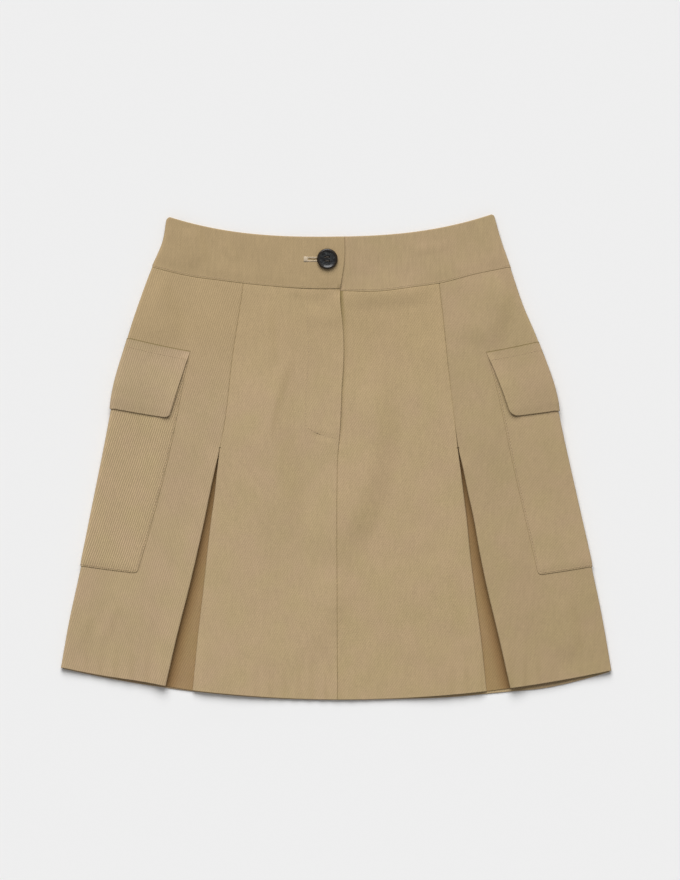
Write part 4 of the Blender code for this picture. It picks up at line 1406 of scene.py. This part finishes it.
def product(tree, a, b):
    """Two values multiplied."""
    return math(tree, "MULTIPLY", a, b)


def remap(tree, value, low, high, to_low, to_high):
    """A value moved from one range to another."""
    inputs = {"Value": value, "From Min": low, "From Max": high, "To Min": to_low, "To Max": to_high}
    return add_node(tree, "ShaderNodeMapRange", inputs).outputs["Result"]


def mottled(tree, light, noise, strength):
    """A lightness raised and lowered by a share of it, as a noise goes."""
    return product(tree, light, remap(tree, noise, *NOISE_RANGE, 1 - strength, 1 + strength))


def scaled_colour(tree, colour, factor):
    """A colour made lighter or darker by a factor."""
    inputs = {"Vector": colour, "Scale": factor}
    return add_node(tree, "ShaderNodeVectorMath", inputs, operation="SCALE").outputs["Vector"]


def blended(tree, factor, first, second):
    """A mix of two colours."""
    return add_node(tree, "ShaderNodeMix", {0: factor, 6: first, 7: second}, data_type="RGBA").outputs[2]


def bumped(tree, height, strength, distance):
    """The way that a surface faces with fine bumps on it."""
    inputs = {"Height": height, "Strength": strength, "Distance": distance}
    return add_node(tree, "ShaderNodeBump", inputs).outputs["Normal"]


def tinted(colour, tint):
    return tuple(c * t for c, t in zip(colour, tint))


def twill_tone(tree, lay, place, worn):
    """The twill's colour: a slow drift of two tints, one more towards the waist and one of painted shade."""
    cloth = bpy.context.scene.skirt_cloth
    inside = lay.piece in UNDERLAYS
    # The cloth inside the pleats takes its darker colour of painted shade
    colour = tinted(cloth.pleat_shade_colour if inside else cloth.colour, (1.0, 1.0, lay.blue))
    olive, rosy, golden = (tinted(colour, tint) for tint in (OLIVE, ROSY, GOLDEN))
    shady = tinted(colour, SHADY_INSIDE if inside else SHADY)
    drift = specks(tree, place, DRIFT_SIZE * MM, 3.0)
    tone = blended(tree, remap(tree, drift, *DRIFT_RANGE, 0.0, 1.0), olive, rosy)
    waist = remap(tree, part_of(tree, place, "Y"), *(end * MM for end in GOLDEN_RAMP), 0.0, lay.golden)
    tone = blended(tree, waist, tone, golden)
    # Where shade is painted, the colour turns to its shaded tint
    return blended(tree, remap(tree, worn, 0.0, -FULL_SHADE, 0.0, 1.0), tone, shady)


def twill_weave(tree, lay, laid):
    """The weave's height: diagonal ribs of slanting yarns, which show less on steep faces."""
    pitch = bpy.context.scene.skirt_cloth.twill_pitch
    ribs = waves(tree, turned(tree, laid, TWILL_ANGLE), pitch, RIB_WOBBLE)
    picks = waves(tree, turned(tree, laid, radians(-90)), PICK_PITCH * MM, PICK_WOBBLE)
    ribs = remap(tree, ribs, *RIB_RANGE, 0.0, 1.0)
    weave = product(tree, ribs, remap(tree, picks, 0.0, 1.0, PICK_LOW, 1.0))
    upward = part_of(tree, add_node(tree, "ShaderNodeNewGeometry", {}).outputs["Normal"], "Z")
    flat = remap(tree, upward, *STEEP, STEEP_WEAVE, 1.0)
    return math(tree, "MULTIPLY_ADD", math(tree, "SUBTRACT", weave, WEAVE_MIDDLE), flat, WEAVE_MIDDLE)


def twill(piece):
    """Cotton twill: its weave and tint, fuzz, thicker yarns and patches, pale worn edges with painted sheen,
    and painted shade in its seams and creases.
    """
    cloth = bpy.context.scene.skirt_cloth
    lay = next(row for row in LAYS if row.piece == piece)
    material, tree, shader = new_material(f"twill_{piece}")
    place = object_place(tree)
    laid = turned(tree, place, radians(-lay.grain))
    worn = values_of(tree, "worn")
    weave = twill_weave(tree, lay, laid)
    fuzz = specks(tree, place, FUZZ_SIZE * MM, 3.0)
    slubs = specks(tree, turned(tree, laid, 0.0, SLUB_STRETCH), SLUB_SIZE * MM, 1.0)
    ribbed = cloth.weave_contrast * lay.ribs
    light = remap(tree, weave, 0.0, 2 * WEAVE_MIDDLE, lay.tone * (1 - ribbed), lay.tone * (1 + ribbed))
    light = mottled(tree, light, fuzz, cloth.fuzz * lay.fuzz)
    light = mottled(tree, light, slubs, lay.slubs)
    for size in PATCH_SIZES:
        light = mottled(tree, light, specks(tree, place, size * MM), PATCHY)
    # Paler with wear and painted sheen along the edges, darker where shade is painted
    light = product(tree, light, math(tree, "MULTIPLY_ADD", worn, cloth.wear_and_painted_light_share, 1.0))
    height = math(tree, "MULTIPLY_ADD", weave, lay.ribs, product(tree, fuzz, FUZZ_HEIGHT))
    look = {
        "Base Color": scaled_colour(tree, twill_tone(tree, lay, place, worn), light),
        "Roughness": remap(tree, fuzz, *NOISE_RANGE, *CLOTH_ROUGH),
        "Specular IOR Level": 0.15,
        "Sheen Weight": 0.08,
        "Sheen Roughness": 0.5,
        "Sheen Tint": SHEEN_TINT,
        "Normal": bumped(tree, height, 0.5, cloth.weave_depth),
    }
    fill(tree, shader, look)
    return material


def thread(name, colour):
    """Spun thread: fine twisted strands with a soft sheen."""
    material, tree, shader = new_material(name)
    place = object_place(tree)
    strands = waves(tree, turned(tree, place, radians(35)), 0.5 * MM, 2.0)
    shade = mottled(tree, remap(tree, strands, 0.0, 1.0, 0.82, 1.12), specks(tree, place, 4 * MM), 0.06)
    look = {
        "Base Color": scaled_colour(tree, colour, shade),
        "Roughness": 0.7,
        "Sheen Weight": 0.2,
        "Normal": bumped(tree, strands, 0.4, 0.1 * MM),
    }
    fill(tree, shader, look)
    return material


def horn(name):
    """Dark horn: grey marbling in a near-black body, with a browner rim."""
    button = bpy.context.scene.skirt_button
    material, tree, shader = new_material(name)
    place = object_place(tree)
    cloud = specks(tree, place, 4.2 * MM, 4.0)
    drawn_out = turned(tree, place, radians(28), (0.35, 1.0, 1.0))
    noise = {"Vector": drawn_out, "Scale": 620.0, "Detail": 5.0, "Distortion": 1.4}
    streaks = add_node(tree, "ShaderNodeTexNoise", noise).outputs["Fac"]
    marbled = blended(tree, remap(tree, streaks, 0.48, 0.72, 0.0, 1.0), button.colour, button.marbling)
    body = blended(tree, remap(tree, cloud, 0.4, 0.75, 0.0, 1.0), marbled, button.colour)
    look = {
        "Base Color": blended(tree, values_of(tree, "rim"), body, button.rim_colour),
        "Roughness": remap(tree, cloud, *NOISE_RANGE, 0.2, 0.34),
        "Specular IOR Level": 0.45,
        "Normal": bumped(tree, streaks, 0.12, 0.2 * MM),
    }
    fill(tree, shader, look)
    return material


def plain_cloth(name, colour):
    """Cloth in deep shade, such as the inside of a slit: darker, with only its fuzz showing."""
    material, tree, shader = new_material(name)
    fuzz = specks(tree, object_place(tree), 0.6 * MM)
    shade = remap(tree, fuzz, *NOISE_RANGE, 0.8, 1.2)
    fill(tree, shader, {"Base Color": scaled_colour(tree, colour, shade), "Roughness": 0.95})
    return material


# What a user would change
def colour_setting(name, description, *colour):
    return bpy.props.FloatVectorProperty(name=name, description=description, subtype="COLOR", default=colour)


def length_setting(name, description, length, least):
    return bpy.props.FloatProperty(
        name=name, description=description, unit="LENGTH", default=length, min=least, precision=4
    )


def share_setting(name, description, share, most):
    return bpy.props.FloatProperty(
        name=name, description=description, subtype="FACTOR", default=share, min=0.0, max=most
    )


class SkirtCloth(bpy.types.PropertyGroup):
    """The skirt's twill."""

    colour: colour_setting("Twill", "Colour of the cloth's face", 0.461, 0.338, 0.197)
    # The cloth inside the pleats is given a darker colour of painted shade
    pleat_shade_colour: colour_setting("Inside the pleats", "Colour of the cloth there", 0.35, 0.231, 0.112)
    twill_pitch: length_setting("Twill pitch", "From one rib to the next", 0.0021, 0.0005)
    weave_depth: length_setting("Weave depth", "Depth between the ribs", 0.0003, 0.0)
    weave_contrast: share_setting("Weave contrast", "How much the ribs lighten and darken", 0.17, 0.3)
    fuzz: share_setting("Fuzz", "How much the fuzz lightens and darkens", 0.07, 0.3)
    # This scales how much paler the edges are with wear and painted sheen, and how dark the painted shade is
    wear_and_painted_light_share: share_setting("Wear", "How much paler the edges are", 0.05, 0.5)


class SkirtSewing(bpy.types.PropertyGroup):
    """The visible sewing."""

    thread_colour: colour_setting("Thread", "Colour of the topstitching", 0.46, 0.33, 0.195)
    # The needle marks' colour is painted shade: the dark of the pits between the stitches
    needle_pit_shade_colour: colour_setting("Needle marks", "Colour of the pits between stitches", 0.29, 0.2, 0.11)
    buttonhole_colour: colour_setting("Buttonhole", "Colour of the buttonhole's thread", 0.57, 0.465, 0.33)
    stitch_length: length_setting("Stitch", "Length of one stitch", 0.0024, 0.001)
    stitch_gap: length_setting("Gap", "Between two stitches", 0.0007, 0.0001)
    thread_width: length_setting("Thread width", "Width of the topstitching thread", 0.0005, 0.0001)


class SkirtButton(bpy.types.PropertyGroup):
    """The waistband's button."""

    colour: colour_setting("Horn", "Colour of the button's body", 0.007, 0.007, 0.008)
    marbling: colour_setting("Marbling", "Colour of the streaks", 0.085, 0.09, 0.09)
    rim_colour: colour_setting("Rim", "Colour of the button's rim", 0.016, 0.009, 0.004)


class SkirtStage(bpy.types.PropertyGroup):
    """The floor and the lights."""

    floor_colour: colour_setting("Floor", "Colour of the floor", 0.86, 0.86, 0.86)
    key_strength: bpy.props.FloatProperty(name="Key", description="Strength of the key light", default=3.2)
    key_softness: bpy.props.FloatProperty(
        name="Softness", description="How wide the key light looks", subtype="ANGLE", default=radians(45)
    )
    sky: bpy.props.FloatProperty(name="Sky", description="Strength of the light from all round", default=0.3)


class SKIRT_OT_waistband(bpy.types.Operator):
    """Makes the two front halves of the waistband and its back"""

    bl_idname = "skirt.waistband"
    bl_label = "Waistband"

    def execute(self, context):
        for side in SIDES:
            waistband_front(side)
        waistband_back()
        return {"FINISHED"}


class SKIRT_OT_front(bpy.types.Operator):
    """Makes the side and centre front panels"""

    bl_idname = "skirt.front"
    bl_label = "Front panels"

    def execute(self, context):
        for side in SIDES:
            front_side(side)
            front_centre(side)
        return {"FINISHED"}


class SKIRT_OT_pleats(bpy.types.Operator):
    """Makes the cloth inside the two pleats"""

    bl_idname = "skirt.pleats"
    bl_label = "Pleat underlays"

    def execute(self, context):
        for side in SIDES:
            underlay(side)
        return {"FINISHED"}


class SKIRT_OT_back(bpy.types.Operator):
    """Makes the back panel"""

    bl_idname = "skirt.back"
    bl_label = "Back panel"

    def execute(self, context):
        back_panel()
        return {"FINISHED"}


class SKIRT_OT_pockets(bpy.types.Operator):
    """Makes the patch pockets and their flaps"""

    bl_idname = "skirt.pockets"
    bl_label = "Pockets and flaps"

    def execute(self, context):
        for side in SIDES:
            pocket(side)
            flap(side)
        return {"FINISHED"}


class SKIRT_OT_topstitching(bpy.types.Operator):
    """Sews the visible stitch lines"""

    bl_idname = "skirt.topstitching"
    bl_label = "Topstitching"

    def execute(self, context):
        sewing = context.scene.skirt_sewing
        jitter = np.random.default_rng(7)
        stitches, marks = zip(*(stitch_run(*trail, sewing, jitter) for trail in topstitch_trails()))
        thread_look = thread("sewing_thread", sewing.thread_colour)
        add_mesh("topstitching", *join_shapes(stitches), thread_look)
        mark_look = plain_cloth("needle_mark", sewing.needle_pit_shade_colour)
        add_mesh("needle_marks", *join_shapes(marks), mark_look)
        return {"FINISHED"}


class SKIRT_OT_buttonhole(bpy.types.Operator):
    """Sews the buttonhole: its bar, its two rows of stitches and its slit"""

    bl_idname = "skirt.buttonhole"
    bl_label = "Buttonhole"

    def execute(self, context):
        jitter = np.random.default_rng(11)
        middle = BUTTON_PLACE[1] - HOLE_LOWER
        base = band_top(HOLE_START, middle)
        slope = (band_top(HOLE_SLIT[1], middle) - base) / (HOLE_SLIT[1] - HOLE_START)

        def face(x):
            return base + slope * (x - HOLE_START)

        self.stitches(context.scene.skirt_sewing, middle, face, jitter)
        self.slit(middle, face)
        return {"FINISHED"}

    def stitches(self, sewing, middle, face, jitter):
        """The bar's threads and the rows of short ones beside the slit."""
        uneven, slant, bar_uneven = HOLE_UNEVEN
        lines = []
        for x in np.arange(*HOLE_SLIT, HOLE_PITCH):
            for way in (1, -1):
                near_end, far_end = (reach + jitter.uniform(-uneven, uneven) for reach in HOLE_EDGE)
                leaning = x + jitter.uniform(-slant, slant)
                lines.append(((x, middle + way * near_end), (leaning, middle + way * far_end)))
        for x in np.arange(HOLE_START, HOLE_BAR_END, HOLE_BAR_PITCH):
            reach = HOLE_BAR + jitter.uniform(-bar_uneven, bar_uneven)
            lines.append(((x, middle - reach), (x, middle + reach)))
        share = np.linspace(0.0, 1.0, STITCH_STATIONS)
        flat = straight(np.array(lines), share)
        height = face(flat[..., 0]) + HOLE_RISE[0] + HOLE_RISE[1] * np.sin(pi * share)
        threads = np.concatenate((flat, height[..., None]), axis=2)
        upwards = np.zeros_like(threads) + (0.0, 0.0, 1.0)
        look = thread("buttonhole_thread", sewing.buttonhole_colour)
        piece = add_mesh("buttonhole", *thread_tubes(threads, upwards, HOLE_THREAD), look)

    def slit(self, middle, face):
        """The slit: a narrow wedge between the rows of stitches, coloured with the painted shade of its
        opening.
        """
        x = np.linspace(HOLE_SLIT[0] + SLIT_START, HOLE_SLIT[1], SLIT_STATIONS)
        share = (x - x[0]) / (x[-1] - x[0])
        half = SLIT_HALF * np.sin(pi / 2 * np.clip(share / SLIT_POINT, 0.0, 1.0))
        y = middle + SLIT_WAVER[0] * np.sin(x * SLIT_WAVER[1])
        top = face(x) + SLIT_HEIGHT
        rails = [np.stack((x, y + k * half, top - SLIT_EDGE * abs(k)), 1) for k in (-1, 0, 1)]
        rails.append(np.stack((x, y, top - SLIT_DEPTH), 1))
        index = np.arange(len(x) * 4).reshape(1, 4, len(x)).swapaxes(1, 2)
        look = plain_cloth("slit", SLIT_SHADE_COLOUR)
        slit = add_mesh("buttonhole_slit", np.concatenate(rails), tube_faces(index), look)


class SKIRT_OT_button(bpy.types.Operator):
    """Turns the horn button, drills its holes and sews it on"""

    bl_idname = "skirt.button"
    bl_label = "Button"

    def execute(self, context):
        floor = (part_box("button")[0].z - SHIFT[2]) / MM
        turns = 2 * pi * np.arange(BUTTON_SIDES) / BUTTON_SIDES
        circle = np.stack((np.cos(turns), np.sin(turns), 0 * turns), 1)
        middle = np.array((*BUTTON_PLACE, floor))
        profile = [((0.0, 0.0, ring.height), BUTTON_RADIUS - ring.from_edge) for ring in BUTTON_RINGS]
        points = np.concatenate([middle + up + radius * circle for up, radius in profile])
        index = np.arange(len(points)).reshape(1, -1, BUTTON_SIDES)
        piece = add_mesh("button_horn", points, tube_faces(index), horn("horn_button"))
        rims = [1 - eased(*BUTTON_RIM, ring.from_edge) for ring in BUTTON_RINGS]
        set_values(piece, "rim", np.repeat(rims, BUTTON_SIDES))
        self.drill(piece, floor)
        piece.data.set_sharp_from_angle(angle=BUTTON_SHARP)
        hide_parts("button")
        self.sew_on(floor)
        return {"FINISHED"}

    def holes(self):
        """Middles of the holes, in order round the button."""
        angles = [(2 * k + 1) * pi / BUTTON_HOLES for k in range(BUTTON_HOLES)]
        reach = BUTTON_HOLE_SPREAD
        return [(BUTTON_PLACE[0] + reach * cos(a), BUTTON_PLACE[1] + reach * sin(a)) for a in angles]

    def drill(self, piece, floor):
        """Cuts the holes with a Boolean and applies it."""
        cutters = []
        for k, (x, y) in enumerate(self.holes()):
            place = np.array((x, y, floor + BUTTON_THICK / 2)) * MM + SHIFT
            bpy.ops.mesh.primitive_cylinder_add(
                vertices=BUTTON_HOLE_SIDES,
                radius=BUTTON_HOLE * MM,
                depth=3 * BUTTON_THICK * MM,
                location=place,
            )
            cutter = bpy.context.object
            cut = piece.modifiers.new(f"hole {k}", "BOOLEAN")
            cut.operation = "DIFFERENCE"
            cut.solver = "EXACT"
            cut.object = cutter
            cutters.append(cutter)
        bpy.context.view_layer.update()
        shown = piece.evaluated_get(bpy.context.evaluated_depsgraph_get())
        mesh = bpy.data.meshes.new_from_object(shown)
        piece.modifiers.clear()
        piece.data = mesh
        for cutter in cutters:
            bpy.data.objects.remove(cutter, do_unlink=True)

    def sew_on(self, floor):
        """Two pairs of threads through the holes, and the thread under the button."""
        holes = self.holes()
        dish = floor + BUTTON_RINGS[-1].height
        share = np.linspace(0.0, 1.0, STRAND_STATIONS)
        raised = dish - STRAND_ENDS + STRAND_RISE * np.clip(np.sin(pi * share) * STRAND_STEEP, 0.0, 1.0)
        threads = []
        for start, end in ((holes[1], holes[0]), (holes[2], holes[3])):
            for beside in STRANDS:
                flat = straight(np.array([(start, end)]) + (0.0, beside), share)[0]
                threads.append(np.column_stack((flat, raised - STRAND_DOWN * abs(beside))))
        threads = np.array(threads)
        ways = np.zeros_like(threads) + (0.0, 0.0, 1.0)
        ways[:, :2] = STRAND_WAY * (-1, 1, 1)
        ways[:, -2:] = STRAND_WAY
        above = thread_tubes(threads, ways, STRAND, 1.0)
        stem = []
        for x, y in holes:
            inner = x * (1 - STEM_LEAN) + BUTTON_PLACE[0] * STEM_LEAN
            stem.append(((inner, y, floor - STEM_DOWN), (x, y, floor - STEM_DOWN + STEM_HEIGHT)))
        stem = straight(np.array(stem), np.linspace(0.0, 1.0, STITCH_STATIONS))
        below = thread_tubes(stem, np.zeros_like(stem) + (0.0, 1.0, 0.0), STEM, 1.0)
        look = thread("button_thread", BUTTON_THREAD)
        add_mesh("button_thread", *join_shapes([above, below]), look)


class SKIRT_OT_stage(bpy.types.Operator):
    """Makes the floor, the lights and the camera"""

    bl_idname = "skirt.stage"
    bl_label = "Stage"

    def execute(self, context):
        stage = context.scene.skirt_stage
        self.floor(stage)
        self.key(context, stage)
        self.sky(context, stage)
        self.camera(context)
        return {"FINISHED"}

    def floor(self, stage):
        """A wide matt floor, just under the skirt."""
        bpy.ops.mesh.primitive_plane_add(size=FLOOR_SIZE, location=(0.0, 0.0, -FLOOR_DOWN))
        floor = bpy.context.object
        floor.name = "floor"
        material, tree, shader = new_material("floor")
        fill(tree, shader, {"Base Color": stage.floor_colour, "Roughness": 0.9, "Specular IOR Level": 0.1})
        floor.data.materials.append(material)

    def key(self, context, stage):
        """A wide soft light from above the waist."""
        light = bpy.data.lights.new("key", "SUN")
        light.angle = stage.key_softness
        light.energy = stage.key_strength
        key = bpy.data.objects.new("key", light)
        key.location = KEY_PLACE
        key.rotation_euler = (-Vector(KEY_PLACE)).to_track_quat("-Z", "Y").to_euler()
        context.scene.collection.objects.link(key)

    def sky(self, context, stage):
        """White light from all round, without a tone curve."""
        world = bpy.data.worlds.new("sky")
        world.use_nodes = True
        tree = world.node_tree
        way = add_node(tree, "ShaderNodeTexCoord", {}).outputs["Generated"]
        strength = remap(tree, part_of(tree, way, "Z"), *HORIZON, UNDER_FLOOR, stage.sky)
        fill(tree, tree.nodes["Background"], {"Color": (1.0, 1.0, 1.0), "Strength": strength})
        context.scene.world = world
        context.scene.view_settings.view_transform = "Standard"

    def camera(self, context):
        """A camera straight above, without perspective."""
        camera = bpy.data.cameras.new("camera")
        camera.type = "ORTHO"
        camera.ortho_scale = VIEW_HEIGHT
        holder = bpy.data.objects.new("camera", camera)
        holder.location = (VIEW_PLACE[0] * MM + SHIFT[0], VIEW_PLACE[1] * MM + SHIFT[1], VIEW_DISTANCE)
        context.scene.collection.objects.link(holder)
        context.scene.camera = holder


class VIEW3D_PT_skirt(bpy.types.Panel):
    """Lists the skirt's pieces and what can be changed"""

    bl_label = "Cargo utility skirt"
    bl_space_type = "VIEW_3D"
    bl_region_type = "UI"
    bl_category = "Skirt"

    def draw(self, context):
        for operator in OPERATORS:
            self.layout.operator(operator.bl_idname)
        for name, group in GROUPS.items():
            box = self.layout.box()
            for field in group.__annotations__:
                box.prop(getattr(context.scene, name), field)


GROUPS = {
    "skirt_cloth": SkirtCloth,
    "skirt_sewing": SkirtSewing,
    "skirt_button": SkirtButton,
    "skirt_stage": SkirtStage,
}
OPERATORS = (
    SKIRT_OT_back,
    SKIRT_OT_waistband,
    SKIRT_OT_front,
    SKIRT_OT_pleats,
    SKIRT_OT_pockets,
    SKIRT_OT_topstitching,
    SKIRT_OT_buttonhole,
    SKIRT_OT_button,
    SKIRT_OT_stage,
)
SHIFT = solids_shift()


def register():
    for kind in (*GROUPS.values(), *OPERATORS, VIEW3D_PT_skirt):
        bpy.utils.register_class(kind)
    for name, group in GROUPS.items():
        setattr(bpy.types.Scene, name, bpy.props.PointerProperty(type=group))


def unregister():
    for name in GROUPS:
        delattr(bpy.types.Scene, name)
    for kind in (VIEW3D_PT_skirt, *reversed(OPERATORS), *reversed(GROUPS.values())):
        bpy.utils.unregister_class(kind)


def main():
    register()
    bpy.ops.skirt.back()
    bpy.ops.skirt.waistband()
    bpy.ops.skirt.front()
    bpy.ops.skirt.pleats()
    bpy.ops.skirt.pockets()
    bpy.ops.skirt.topstitching()
    bpy.ops.skirt.buttonhole()
    bpy.ops.skirt.button()
    bpy.ops.skirt.stage()


if __name__ == "__main__":
    main()
